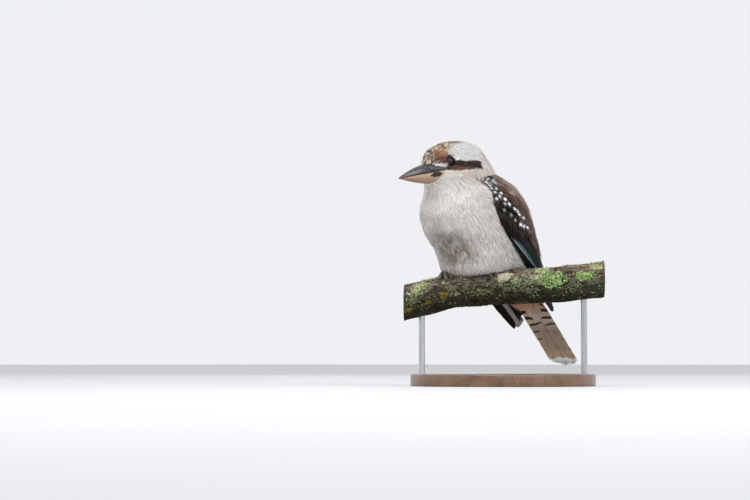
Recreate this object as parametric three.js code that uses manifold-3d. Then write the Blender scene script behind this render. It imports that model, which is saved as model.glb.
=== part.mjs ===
// A laughing kookaburra, modelled life-size as a still display piece.
// It grips a short cut length of branch held on a plain stand.
// Millimetres, +Z up. The bird faces -Y and its left side is +X.
// The origin is the centre of the underside of the stand's base.
import * as THREE from 'three';
import { mergeVertices } from 'three/addons/utils/BufferGeometryUtils.js';
import Module from 'manifold-3d';

const wasm = await Module();
wasm.setup();

// Dimensions.
const GAP = 0.3;
const TAU = Math.PI * 2;

const PERCH_HEADING = THREE.MathUtils.degToRad(40);

const BASE_RADIUS = 120;
const BASE_HEIGHT = 16;
const BASE_CHAMFER = 2.5;
const ROD_RADIUS = 4;
const ROD_PLACES = [-58, 152];
// Everything is first laid out about the place between the feet.
const HOME_ALONG = (ROD_PLACES[0] + ROD_PLACES[1]) / 2;
const HOME = [HOME_ALONG * Math.cos(PERCH_HEADING), HOME_ALONG * Math.sin(PERCH_HEADING)];

// Body sections from the bill's root to the end of the tail.
// Each holds the under point, the upper point, the half width, the height of
// the widest place as a share of the section and the squareness.
const SECTIONS = [
  { under: [-77, 259], upper: [-83.5, 281], wide: 11.5, share: 0.45, square: 2.0 },
  { under: [-72, 256], upper: [-77, 294], wide: 14.5, share: 0.45, square: 2.0 },
  { under: [-68, 253.5], upper: [-67, 304], wide: 18, share: 0.45, square: 2.05 },
  { under: [-65, 251], upper: [-53, 311], wide: 22, share: 0.45, square: 2.1 },
  { under: [-63, 248], upper: [-36, 315.5], wide: 28, share: 0.45, square: 2.1 },
  { under: [-62, 243], upper: [-16, 318], wide: 34, share: 0.45, square: 2.1 },
  { under: [-63, 237], upper: [2, 317], wide: 37, share: 0.45, square: 2.1 },
  { under: [-65, 230], upper: [15, 310], wide: 38.5, share: 0.45, square: 2.1 },
  { under: [-67, 221], upper: [26, 297], wide: 41, share: 0.46, square: 2.15 },
  { under: [-65, 211], upper: [37, 281], wide: 46, share: 0.48, square: 2.2 },
  { under: [-60, 199], upper: [53, 265], wide: 50, share: 0.5, square: 2.25 },
  { under: [-51, 187], upper: [68, 247], wide: 53, share: 0.5, square: 2.3 },
  { under: [-41, 174], upper: [79, 227], wide: 54, share: 0.5, square: 2.3 },
  { under: [-31, 158], upper: [88, 205], wide: 53, share: 0.5, square: 2.3 },
  { under: [-23, 145], upper: [97, 182], wide: 50, share: 0.5, square: 2.25 },
  { under: [8, 141], upper: [106, 163], wide: 46, share: 0.5, square: 2.2 },
  { under: [42, 136], upper: [113, 150], wide: 38, share: 0.5, square: 2.1 },
  { under: [66, 129], upper: [121, 140], wide: 31, share: 0.5, square: 2.1 },
  { under: [90, 116], upper: [130, 130], wide: 26, share: 0.5, square: 2.1 },
  { under: [112, 103], upper: [141, 120], wide: 21, share: 0.5, square: 2.1 },
];

// Helpers.
const lerp = (a, b, t) => a + (b - a) * t;
const clamp = (v, a, b) => Math.min(Math.max(v, a), b);

function through(list, t) {
  const last = list.length - 1;
  const i = Math.min(Math.floor(clamp(t, 0, last)), last - 1);
  const f = clamp(t, 0, last) - i;
  const p0 = list[Math.max(i - 1, 0)];
  const p1 = list[i];
  const p2 = list[i + 1];
  const p3 = list[Math.min(i + 2, last)];
  const bend = 2 * p0 - 5 * p1 + 4 * p2 - p3;
  const turn = 3 * p1 - p0 - 3 * p2 + p3;
  return p1 + 0.5 * f * (p2 - p0 + f * (bend + f * turn));
}

const KEYS = {
  uy: SECTIONS.map((s) => s.under[0]),
  uz: SECTIONS.map((s) => s.under[1]),
  dy: SECTIONS.map((s) => s.upper[0]),
  dz: SECTIONS.map((s) => s.upper[1]),
  wide: SECTIONS.map((s) => s.wide),
  share: SECTIONS.map((s) => s.share),
  square: SECTIONS.map((s) => s.square),
};

// A point of the body's skin: t runs along the sections, turn goes from the
// under line (0) round the left side to the upper line (pi).
function bodyPoint(t, turn, lift = 0) {
  const uy = through(KEYS.uy, t);
  const uz = through(KEYS.uz, t);
  const dy = through(KEYS.dy, t) - uy;
  const dz = through(KEYS.dz, t) - uz;
  const high = Math.hypot(dy, dz);
  const share = through(KEYS.share, t);
  const power = 2 / through(KEYS.square, t);
  const s = Math.sin(turn);
  const c = -Math.cos(turn);
  const x = (through(KEYS.wide, t) + lift) * Math.sign(s) * Math.abs(s) ** power;
  const reach = c > 0 ? (1 - share) * high + lift : share * high + lift;
  const along = share * high + reach * Math.sign(c) * Math.abs(c) ** power;
  return new THREE.Vector3(x, uy + (dy / high) * along, uz + (dz / high) * along);
}

// Joins rings of points into a closed skin. On a thin shape the second half of
// each ring is its underside, split into triangles alike with the upper side.
function loft(rings, thin = false) {
  const count = rings[0].length;
  const points = [];
  const faces = [];
  rings.forEach((ring) => ring.forEach((p) => points.push(p.x, p.y, p.z)));
  for (let i = 0; i < rings.length - 1; i += 1) {
    for (let j = 0; j < count; j += 1) {
      const a = i * count + j;
      const b = i * count + ((j + 1) % count);
      if (thin && j >= count / 2) faces.push(a, b, a + count, b, b + count, a + count);
      else faces.push(a, b, b + count, a, b + count, a + count);
    }
  }
  const lastRing = rings.length - 1;
  for (const end of [0, lastRing]) {
    const start = end * count;
    const mid = new THREE.Vector3();
    rings[end].forEach((p) => mid.addScaledVector(p, 1 / count));
    const centre = points.length / 3;
    points.push(mid.x, mid.y, mid.z);
    for (let j = 0; j < count; j += 1) {
      const a = start + j;
      const b = start + ((j + 1) % count);
      if (end === 0) faces.push(b, a, centre);
      else faces.push(a, b, centre);
    }
  }
  const geometry = new THREE.BufferGeometry();
  geometry.setAttribute('position', new THREE.Float32BufferAttribute(points, 3));
  geometry.setIndex(faces);
  return geometry;
}

function solid(geometry, near = 1e-4) {
  const bare = geometry.clone();
  bare.deleteAttribute('normal');
  bare.deleteAttribute('uv');
  const merged = mergeVertices(bare, near);
  const made = new wasm.Manifold(new wasm.Mesh({
    numProp: 3,
    vertProperties: new Float32Array(merged.attributes.position.array),
    triVerts: new Uint32Array(merged.index.array),
  }));
  if (made.volume() > 0) return made;
  const index = Array.from(merged.index.array);
  for (let i = 0; i < index.length; i += 3) {
    [index[i], index[i + 1]] = [index[i + 1], index[i]];
  }
  return new wasm.Manifold(new wasm.Mesh({
    numProp: 3,
    vertProperties: new Float32Array(merged.attributes.position.array),
    triVerts: new Uint32Array(index),
  }));
}

function join(list) {
  return list.slice(1).reduce((sum, one) => sum.add(one), list[0]);
}

function largest(made) {
  const parts = made.decompose();
  parts.sort((a, b) => b.volume() - a.volume());
  return parts[0];
}

// Slivers left by cutting are smaller than FINEST, and points of one node that
// lie nearer than MERGE are one point.
const FINEST = 0.03;
const MERGE = 2e-3;

function toGeometry(made) {
  const mesh = made.getMesh();
  const geometry = new THREE.BufferGeometry();
  const points = new Float32Array(mesh.numVert * 3);
  for (let i = 0; i < mesh.numVert; i += 1) {
    const from = i * mesh.numProp;
    points.set(mesh.vertProperties.subarray(from, from + 3), i * 3);
  }
  geometry.setAttribute('position', new THREE.BufferAttribute(points, 3));
  geometry.setIndex(Array.from(mesh.triVerts));
  geometry.computeVertexNormals();
  return geometry;
}

const group = new THREE.Group();
group.name = 'laughing_kookaburra';

function addNode(name, made, colour, roughness, metalness = 0) {
  const clean = largest(largest(made).simplify(FINEST)).translate([-HOME[0], -HOME[1], 0]);
  const placed = largest(solid(toGeometry(clean), MERGE));
  const material = new THREE.MeshStandardMaterial({ color: colour, roughness, metalness });
  const mesh = new THREE.Mesh(toGeometry(placed), material);
  mesh.name = name;
  group.add(mesh);
}

// The body.
const RING = 26;
function bodyLoft(from, to, steps, lift = 0) {
  const rings = [];
  for (let i = 0; i <= steps; i += 1) {
    const t = lerp(from, to, i / steps);
    const ring = [];
    for (let j = 0; j < RING; j += 1) {
      ring.push(bodyPoint(t, (j / RING) * TAU, lift));
    }
    rings.push(ring);
  }
  return solid(loft(rings));
}

function sectionPlane(t) {
  const under = bodyPoint(t, 0);
  const upper = bodyPoint(t, Math.PI);
  const along = upper.clone().sub(under).normalize();
  const normal = new THREE.Vector3(0, along.z, -along.y);
  return { normal, offset: normal.dot(under) };
}

const NECK_TOP = 6.5;
const NECK_FOOT = 9.6;
const BODY_END = 18.6;
const flip = (n) => [-n.x, -n.y, -n.z];
const flat = (n) => [n.x, n.y, n.z];
const headCut = sectionPlane(NECK_TOP);
const neckCut = sectionPlane(NECK_FOOT);
const BODY_STEPS = 34;
const whole = bodyLoft(0, BODY_END, BODY_STEPS);
const wholeFat = bodyLoft(0, BODY_END, BODY_STEPS, GAP);
let head = whole.trimByPlane(flip(headCut.normal), -(headCut.offset - GAP / 2));
let neck = whole.trimByPlane(flat(headCut.normal), headCut.offset + GAP / 2);
neck = neck.trimByPlane(flip(neckCut.normal), -(neckCut.offset - GAP / 2));
let torso = whole.trimByPlane(flat(neckCut.normal), neckCut.offset + GAP / 2);

// The bill.
// Each station: distance along Y, upper edge, mouth line, under edge, half width.
const BILL = [
  { y: -62, top: 288, mouth: 276.6, low: 262, wide: 15.5 },
  { y: -74, top: 286.5, mouth: 274.2, low: 258.6, wide: 14.6 },
  { y: -87, top: 282.4, mouth: 271.6, low: 258.4, wide: 12.6 },
  { y: -100, top: 278.4, mouth: 268.8, low: 258.8, wide: 9.8 },
  { y: -112, top: 273.6, mouth: 266.2, low: 259.6, wide: 6.9 },
  { y: -122, top: 268.9, mouth: 264.1, low: 260.6, wide: 4.2 },
  { y: -129, top: 265, mouth: 262.6, low: 261.4, wide: 1.9 },
  { y: -132.6, top: 262.6, mouth: 261.8, low: 261.5, wide: 0.5 },
];
const BILL_KEYS = ['y', 'top', 'mouth', 'low', 'wide'].map((k) => BILL.map((b) => b[k]));

const BILL_STEPS = 14;
const BILL_AROUND = 9;
const LOWER_NARROWER = 0.96;
const UPPER_ROUND = 0.9;
const LOWER_ROUND = 0.8;

function mandible(upper, lift = 0) {
  const rings = [];
  const steps = BILL_STEPS;
  const around = BILL_AROUND;
  for (let i = 0; i <= steps; i += 1) {
    const t = (i / steps) * (BILL.length - 1);
    const [y, top, mouth, low, wide] = BILL_KEYS.map((list) => through(list, t));
    const seam = mouth + (upper ? GAP / 2 - lift : -GAP / 2 + lift);
    const reach = (upper ? top - seam : seam - low) + lift;
    const ring = [];
    for (let j = 0; j <= around; j += 1) {
      const a = (j / around) * Math.PI;
      const x = (wide + lift) * Math.cos(a) * (upper ? 1 : LOWER_NARROWER);
      const z = reach * Math.sin(a) ** (upper ? UPPER_ROUND : LOWER_ROUND);
      const tip = i === steps ? lift : 0;
      ring.push(new THREE.Vector3(x, y - tip, upper ? seam + z : seam - z));
    }
    rings.push(ring);
  }
  return solid(loft(rings));
}
// A slit-shaped nostril on each side near the bill's root.
const NOSTRIL = new THREE.Vector3(10.6, -88.5, 277.4);
const NOSTRIL_SIZE = [1.5, 2.6, 0.8];
const NOSTRIL_TILT = THREE.MathUtils.degToRad(18);
function nostril(side) {
  const pit = new THREE.SphereGeometry(1, 8, 6);
  pit.scale(...NOSTRIL_SIZE);
  pit.rotateX(NOSTRIL_TILT);
  pit.translate(side * NOSTRIL.x, NOSTRIL.y, NOSTRIL.z);
  return solid(pit);
}
const billUpper = mandible(true).subtract(nostril(1)).subtract(nostril(-1));
const billLower = mandible(false);
head = head.subtract(mandible(true, GAP)).subtract(mandible(false, GAP));

// The slit of the mouth runs back below the eye.
const GAPE_END = -52;
const GAPE_RISE = 0.2;
const SLIT_HALF = 0.25;
const SLIT_REACH = 34;
function mouthSlit() {
  const rings = [-96, -86, -76, -66, GAPE_END].map((y) => {
    const t = clamp((BILL[0].y - y) / (BILL[0].y - BILL[1].y), 0, 2.2);
    const inHead = Math.max(0, y - BILL[0].y);
    const mouth = through(BILL_KEYS[2], t) + inHead * GAPE_RISE;
    const corners = [[-1, 1], [1, 1], [1, -1], [-1, -1]];
    return corners.map(([x, z]) => (
      new THREE.Vector3(x * SLIT_REACH, y, mouth + z * SLIT_HALF)));
  });
  return solid(loft(rings));
}
head = head.subtract(mouthSlit());

// The eyes and their lids.
const EYE_PLACE = new THREE.Vector3(19.8, -54.4, 288.3);
const EYE_AXIS = new THREE.Vector3(0.87, -0.48, 0.1).normalize();
const EYE_RADIUS = 7.2;
const LID_INNER = 7.6;
const LID_OUTER = 8.6;
const EYE_DEPTH = 7;
const OPEN_WIDE = 5.3;
const OPEN_HIGH = 4.8;
const OPEN_DEEP = 12;
const OPEN_FROM = 9;

function eyeBall(side, radius) {
  const ball = new THREE.SphereGeometry(radius, 16, 10);
  ball.rotateZ(Math.PI / 2);
  const centre = EYE_PLACE.clone().addScaledVector(EYE_AXIS, -EYE_DEPTH);
  ball.translate(side * centre.x, centre.y, centre.z);
  return solid(ball);
}

function eyeOpening(side) {
  const shape = new THREE.CylinderGeometry(1, 1, OPEN_DEEP, 16);
  shape.scale(OPEN_HIGH, 1, OPEN_WIDE);
  shape.rotateZ(-Math.PI / 2);
  shape.translate(OPEN_FROM, 0, 0);
  const sideways = new THREE.Vector3(1, 0, 0);
  const turn = new THREE.Quaternion().setFromUnitVectors(sideways, EYE_AXIS);
  shape.applyQuaternion(turn);
  const centre = EYE_PLACE.clone().addScaledVector(EYE_AXIS, -EYE_DEPTH);
  shape.translate(centre.x, centre.y, centre.z);
  if (side < 0) shape.scale(-1, 1, 1);
  return solid(shape);
}
for (const side of [1, -1]) {
  head = head.add(eyeBall(side, LID_OUTER)).subtract(eyeBall(side, LID_INNER));
  head = head.subtract(eyeOpening(side));
}

// The wings.
// The left wing's outer face: front edge, fullest line and back edge.
const WING = [
  { front: [31, -23, 266], full: [42, 6, 271], back: [18, 31, 278] },
  { front: [47, -14, 248], full: [59, 25, 255], back: [13, 53, 266] },
  { front: [56, -7, 226], full: [67, 40, 234], back: [10, 73, 245] },
  { front: [59, 4, 204], full: [67, 53, 210], back: [8, 87, 222] },
  { front: [58, 22, 182], full: [64, 67, 187], back: [7, 98, 200] },
  { front: [55, 45, 162], full: [59, 82, 166], back: [7, 109, 179] },
  { front: [51, 67, 144], full: [54, 98, 148], back: [9, 121, 161] },
  { front: [48, 90, 122], full: [49, 116, 127], back: [15, 134, 141] },
  { front: [46, 114, 100], full: [46, 134, 106], back: [22, 147, 120] },
  { front: [43, 134, 84], full: [43, 148, 89], back: [28, 158, 101] },
  { front: [40, 145, 75], full: [39, 152, 79], back: [32, 160, 89] },
];
const WING_KEYS = ['front', 'full', 'back'].map((edge) => (
  [0, 1, 2].map((axis) => WING.map((w) => w[edge][axis]))));
// The left wing's end is tucked in over the tail, the right wing's hangs beside it.
const TUCK = new THREE.Vector3(-14, 5, 22);
const TUCK_FROM = 0.45;
const TUCK_POWER = 1.6;

function wingPoint(along, across, tucked) {
  const t = along * (WING.length - 1);
  const [front, full, back] = WING_KEYS.map((edge) => edge.map((axis) => through(axis, t)));
  const k = across;
  const p = new THREE.Vector3(...[0, 1, 2].map((i) => {
    const bow = 2 * full[i] - (front[i] + back[i]) / 2;
    return (1 - k) ** 2 * front[i] + 2 * k * (1 - k) * bow + k * k * back[i];
  }));
  const f = clamp((along - TUCK_FROM) / (1 - TUCK_FROM), 0, 1);
  return tucked ? p.addScaledVector(TUCK, f ** TUCK_POWER) : p;
}

function wingNormal(along, across, tucked) {
  const e = 0.004;
  const a = clamp(along, e, 1 - e);
  const k = clamp(across, e, 1 - e);
  const u = wingPoint(a + e, k, tucked).sub(wingPoint(a - e, k, tucked));
  const v = wingPoint(a, k + e, tucked).sub(wingPoint(a, k - e, tucked));
  return u.cross(v).normalize();
}

// A vane is a thin blade: rows of four points, at both edges and above and
// below the shaft. This gives its breadth at a share of its length: it opens
// from a narrow root and rounds off past blunt.
const OPEN_BY = 0.35;
const TIP_LEAST = 0.03;
function vaneBreadth(s, blunt, narrow = 0.45) {
  const open = narrow + (1 - narrow) * Math.min(1, s / OPEN_BY);
  if (s < blunt) return open;
  const past = (s - blunt) / (1 - blunt);
  return open * Math.sqrt(Math.max(TIP_LEAST, 1 - past ** 2));
}

// A plain repeatable sequence of chances, so that no two feathers are the same.
let seed = 1111;
const CHANCES = 2 ** 32;
function chance() {
  seed = (seed * 1664525 + 1013904223) % CHANCES;
  return seed / CHANCES;
}
const vary = (amount) => (chance() * 2 - 1) * amount;

// One feather on the wing. It runs from root to tip, each a pair (along,
// across), rises from one height to another over the wing's face and leans so
// that its back edge goes under its neighbour.
const LEAN = 0.55;
const VANE_THINS = 0.45;
// The wing's face is bowed, so it is this much longer than the chord across it.
const BOW = 1.15;
function wingVane(one, tucked) {
  const stations = [];
  for (let i = 0; i <= one.steps; i += 1) {
    const s = i / one.steps;
    const a = lerp(one.root[0], one.tip[0], s);
    const k = lerp(one.root[1], one.tip[1], s);
    const rise = lerp(one.rise[0], one.rise[1], s);
    const half = one.half * vaneBreadth(s, one.blunt);
    const thick = one.thick * (1 - VANE_THINS * s) * 0.5;
    const chord = wingPoint(a, 1, tucked).distanceTo(wingPoint(a, 0, tucked));
    const dk = half / (chord * BOW);
    const n = wingNormal(a, k, tucked);
    const at = (shift, lift) => (
      wingPoint(a, k + shift, tucked).addScaledVector(n, rise + lift));
    stations.push([at(-dk, -LEAN), at(0, thick), at(dk, LEAN), at(0, -thick)]);
  }
  return solid(loft(stations, true));
}

// The wing's bare pad, which every feather is rooted in.
const PAD_END = 0.8;
const PAD_THICK = [17, 4];
const PAD_LEAST = 0.5;
const PAD_SUNK = 1.2;
const PAD_STEPS = 14;
const PAD_ACROSS = 6;
function wingPad(tucked) {
  const rings = [];
  for (let i = 0; i <= PAD_STEPS; i += 1) {
    const a = (i / PAD_STEPS) * PAD_END;
    const nearEnd = Math.min(a * 8, (PAD_END - a) * 5 + 0.08);
    const end = Math.sin((clamp(nearEnd, 0, 1) * Math.PI) / 2);
    const outer = [];
    const inner = [];
    for (let j = 0; j <= PAD_ACROSS; j += 1) {
      const share = j / PAD_ACROSS;
      const k = lerp(0.05, 0.95, share);
      const edge = Math.sqrt(Math.max(0, 1 - (2 * share - 1) ** 4));
      const thick = lerp(...PAD_THICK, a / PAD_END) * end * edge + PAD_LEAST;
      const p = wingPoint(a, k, tucked);
      const n = wingNormal(a, k, tucked);
      outer.push(p.clone().addScaledVector(n, -PAD_SUNK));
      inner.push(p.clone().addScaledVector(n, -PAD_SUNK - thick));
    }
    rings.push(outer.concat(inner.reverse()));
  }
  return solid(loft(rings, true));
}

// Rows of feathers. count, then root and tip for the first and the last of the
// row, half breadth, and the height over the wing's face at root and tip.
const ROWS = [
  // The primaries.
  {
    count: 5, first: [[0.34, 0.1], [1.0, 0.3]], last: [[0.38, 0.42], [0.86, 0.78]],
    half: 8.5, rise: [-1.6, -0.3], steps: 5, thick: 1.3, blunt: 0.8,
  },
  // The secondaries and tertials.
  {
    count: 3, first: [[0.36, 0.48], [0.78, 0.62]], last: [[0.4, 0.75], [0.66, 0.86]],
    half: 10, rise: [-1.4, 0.2], steps: 4, thick: 1.3, blunt: 0.75,
  },
  // The greater coverts.
  {
    count: 4, first: [[0.22, 0.1], [0.46, 0.14]], last: [[0.22, 0.58], [0.47, 0.62]],
    half: 8.6, rise: [-1.5, 0.7], steps: 3, thick: 1.4, blunt: 0.7,
  },
  // The median coverts.
  {
    count: 3, first: [[0.12, 0.16], [0.31, 0.17]], last: [[0.12, 0.56], [0.3, 0.58]],
    half: 10.5, rise: [-1.6, 1.0], steps: 3, thick: 1.5, blunt: 0.65,
  },
  // The lesser coverts.
  {
    count: 2, first: [[0.03, 0.26], [0.18, 0.26]], last: [[0.03, 0.52], [0.17, 0.52]],
    half: 13, rise: [-1.8, 1.1], steps: 2, thick: 1.5, blunt: 0.6,
  },
  // The scapulars.
  {
    count: 4, first: [[0.05, 0.72], [0.3, 0.66]], last: [[0.12, 0.92], [0.52, 0.86]],
    half: 9.5, rise: [-1.6, 1.2], steps: 4, thick: 1.6, blunt: 0.75,
  },
];

function wingFeathers(tucked) {
  const made = [];
  for (const row of ROWS) {
    for (let i = 0; i < row.count; i += 1) {
      const f = row.count > 1 ? i / (row.count - 1) : 0;
      const mix = (p, q) => [lerp(p[0], q[0], f), lerp(p[1], q[1], f)];
      const tip = mix(row.first[1], row.last[1]);
      made.push(wingVane({
        ...row,
        root: mix(row.first[0], row.last[0]),
        tip: [tip[0] + vary(0.006), tip[1]],
        half: row.half + vary(0.3),
      }, tucked));
    }
  }
  return made;
}

// The tail.
const TAIL_ROOT = new THREE.Vector3(0, 106, 140);
const TAIL_TIP = new THREE.Vector3(0, 219, 24);
const TAIL_PAIRS = 6;
const RECTRIX_HALF = 8.2;
const RECTRIX_THICK = 0.75;
const LAYER = 1.06;
const FAN = 8.8;
const FAN_OPEN_BY = 1 / 3;
const TAIL_ARCH = 0.004;
const tailRun = TAIL_TIP.clone().sub(TAIL_ROOT);
const tailLong = tailRun.length();
tailRun.normalize();
const tailUp = new THREE.Vector3(0, -tailRun.z, tailRun.y);

// A place on the tail: share of its length, sideways and above its middle.
function tailPoint(s, x, up) {
  return TAIL_ROOT.clone().addScaledVector(tailRun, s * tailLong)
    .addScaledVector(tailUp, up - TAIL_ARCH * x * x)
    .add(new THREE.Vector3(x, 0, 0));
}

function rectrix(pair, side) {
  const stations = [];
  const steps = 6;
  const out = pair / (TAIL_PAIRS - 1);
  const length = 1 - 0.012 * pair + vary(0.006);
  for (let i = 0; i <= steps; i += 1) {
    const s = i / steps;
    const open = Math.min(1, s / FAN_OPEN_BY);
    const half = RECTRIX_HALF * vaneBreadth(s, 0.9, 0.7);
    const mid = side * (lerp(2.2, 4.5, out) + (FAN * out + 1.6) * open);
    const layer = TAIL_PAIRS / 2 - pair - (side < 0 ? 0.5 : 0);
    const up = layer * LAYER * lerp(0.35, 1, open);
    const thick = RECTRIX_THICK * (1 - 0.35 * s) * 0.5;
    const at = (x, lift) => tailPoint(s * length, mid + x, up + lift);
    stations.push([at(half, 0), at(0, thick), at(-half, 0), at(0, -thick)]);
  }
  return solid(loft(stations, true));
}

// The rump's end, which the tail feathers are rooted in.
function tailBlock() {
  const rings = [];
  for (const s of [-0.02, 0.05, 0.12, 0.18, 0.23]) {
    const share = (s + 0.02) / 0.25;
    const half = lerp(11, 15, share);
    const thick = lerp(3.4, 2.6, share);
    rings.push(Array.from({ length: 14 }, (_, j) => {
      const q = (j / 14) * TAU;
      return tailPoint(s, half * Math.cos(q), thick * Math.sin(q));
    }));
  }
  return solid(loft(rings));
}

const rectrices = [];
for (let pair = 0; pair < TAIL_PAIRS; pair += 1) {
  for (const side of [1, -1]) rectrices.push(rectrix(pair, side));
}
const tail = join([tailBlock(), ...rectrices]);

// The space that the tail takes, with clearance, for what lies beside it.
function tailEnvelope(lift) {
  const rings = [-0.03, 0.1, 0.2, 0.34, 0.7, 1.0].map((s) => {
    const half = lerp(14, 25, Math.min(1, Math.max(0, s) * 3)) + lift;
    const thick = 3.9 + lift;
    return Array.from({ length: 18 }, (_, j) => {
      const q = (j / 18) * TAU;
      const up = Math.sign(Math.sin(q)) * Math.abs(Math.sin(q)) ** 0.6;
      return tailPoint(s, half * Math.cos(q), thick * up);
    });
  });
  return solid(loft(rings));
}
const tailSpace = tailEnvelope(GAP);
torso = torso.subtract(tailSpace);

// The cut length of branch.
const ALONG = new THREE.Vector3(Math.cos(PERCH_HEADING), Math.sin(PERCH_HEADING), 0);
const TOWARD = new THREE.Vector3(Math.sin(PERCH_HEADING), -Math.cos(PERCH_HEADING), 0);
const PERCH = [
  { s: -81, z: 107.5, r: 23.6 },
  { s: -48, z: 116.5, r: 23.2 },
  { s: -20, z: 123.6, r: 23.2 },
  { s: 8, z: 126, r: 22.6 },
  { s: 50, z: 128, r: 22.2 },
  { s: 96, z: 130.6, r: 22.8 },
  { s: 150, z: 134.6, r: 23.2 },
  { s: 178, z: 138, r: 23.5 },
];
const PERCH_KEYS = ['s', 'z', 'r'].map((k) => PERCH.map((p) => p[k]));
const PERCH_SIDES = 20;
const PERCH_STEPS = 18;
function perchAt(s) {
  let t = 0;
  while (t < PERCH.length - 1.01 && through(PERCH_KEYS[0], t) < s) t += 0.01;
  return { z: through(PERCH_KEYS[1], t), r: through(PERCH_KEYS[2], t) };
}
function perchPoint(s, turn, lift = 0) {
  const { z, r } = perchAt(s);
  const broad = 0.35 * Math.sin(3 * turn + s * 0.045);
  const fine = 0.3 * Math.sin(5 * turn - s * 0.08 + 1);
  const reach = r + lift + broad + fine + 0.4 * Math.sin(s * 0.11 + 2 * turn);
  return ALONG.clone().multiplyScalar(s)
    .add(new THREE.Vector3(0, 0, z + reach * Math.cos(turn)))
    .addScaledVector(TOWARD, reach * Math.sin(turn));
}
function perchSolid(lift = 0) {
  const rings = [];
  const first = PERCH[0].s - lift;
  const last = PERCH[PERCH.length - 1].s + lift;
  for (let i = 0; i <= PERCH_STEPS; i += 1) {
    const s = lerp(first, last, i / PERCH_STEPS);
    const ring = [];
    for (let j = 0; j < PERCH_SIDES; j += 1) {
      ring.push(perchPoint(s, (j / PERCH_SIDES) * TAU, lift));
    }
    rings.push(ring);
  }
  return solid(loft(rings));
}
const perch = perchSolid();
const perchFat = perchSolid(GAP);

// The legs and feet.
const FOOT_PLACES = [30.5, -30.5];
function tube(points, radii, around = 8) {
  const rings = points.map((p, i) => {
    const a = points[Math.max(i - 1, 0)];
    const b = points[Math.min(i + 1, points.length - 1)];
    const run = b.clone().sub(a).normalize();
    const side = new THREE.Vector3(run.y, -run.x, 0.001).normalize();
    const up = run.clone().cross(side).normalize();
    return Array.from({ length: around }, (_, j) => {
      const q = (j / around) * TAU;
      return p.clone()
        .addScaledVector(side, radii[i] * Math.cos(q))
        .addScaledVector(up, radii[i] * Math.sin(q));
    });
  });
  return solid(loft(rings));
}
const TOES = [
  { spread: -10, start: -3, from: 0.12, to: 0.82, thick: 2.9 },
  { spread: 1, start: 0, from: 0.12, to: 1.0, thick: 3.1 },
  { spread: 8, start: 3, from: 0.12, to: 0.9, thick: 2.9 },
  { spread: -1, start: 0, from: -0.12, to: -0.85, thick: 3.0 },
];
const TOE_STEPS = 6;
const TOE_OFF = 0.15;
const CLAW_SWEEP = 0.36;
const CLAW_SHARE = 0.62;
const CLAW_ARCH = 1.7;
const CLAW_POINT = 0.25;
const LEG_SPACE = 1;
function toe(place, one, lift) {
  const points = [];
  const radii = [];
  const steps = TOE_STEPS;
  const clawSteps = lift > 0 ? 2 : 3;
  const sense = Math.sign(one.to - one.from);
  for (let i = 0; i <= steps; i += 1) {
    const a = i / steps;
    const thick = one.thick * (1 - 0.18 * a) * (1 + 0.09 * Math.cos(a * TAU * 3));
    const s = place + lerp(one.start, one.spread, a);
    points.push(perchPoint(s, lerp(one.from, one.to, a), thick + GAP + TOE_OFF));
    radii.push(thick + lift);
  }
  for (let i = 1; i <= clawSteps; i += 1) {
    const a = i / clawSteps;
    const thick = one.thick * CLAW_SHARE * (1 - 0.86 * a);
    const turn = one.to + sense * CLAW_SWEEP * a;
    const off = thick + GAP + CLAW_ARCH * Math.sin(a * 2.6);
    points.push(perchPoint(place + one.spread, turn, off));
    radii.push(Math.max(thick, CLAW_POINT) + lift);
  }
  return tube(points, radii, 6);
}
const FOOT_HEIGHT = 3.4;
const FOOT_PAD = 4.4;
const ANKLE = new THREE.Vector3(3, 12, 22);
const SHANK_RADII = [3.4, 3, 3.8];
// With room > 0 it is the hollow that the leg takes in the belly: close round
// the shank, wider round the toes.
function leg(place, side, room = 0) {
  const snug = Math.min(room, GAP);
  const foot = perchPoint(place, 0, FOOT_HEIGHT);
  const ankle = foot.clone().add(new THREE.Vector3(side * ANKLE.x, ANKLE.y, ANKLE.z));
  const mid = foot.clone().lerp(ankle, 0.5);
  const end = ankle.clone().add(new THREE.Vector3(0, snug * 0.5, snug));
  const shank = tube([foot, mid, end], SHANK_RADII.map((r) => r + snug), 8);
  const pad = new THREE.SphereGeometry(FOOT_PAD + room, 10, 6);
  pad.scale(1, 1, 0.7);
  pad.translate(foot.x, foot.y, foot.z);
  return join([shank, solid(pad), ...TOES.map((one) => toe(place, one, room))]);
}
torso = torso.subtract(perchFat);
const legs = FOOT_PLACES.map((place) => leg(place, Math.sign(place)).subtract(perchFat));
FOOT_PLACES.forEach((place) => {
  torso = torso.subtract(leg(place, Math.sign(place), LEG_SPACE));
});

const wingClearances = [wholeFat, perchFat, tailSpace];
const clearOf = (made) => wingClearances.reduce((rest, one) => rest.subtract(one), made);
const wingLeft = clearOf(join([wingPad(true), ...wingFeathers(true)]));
const wingRight = clearOf(join([wingPad(false), ...wingFeathers(false)]).mirror([1, 0, 0]));

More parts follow.
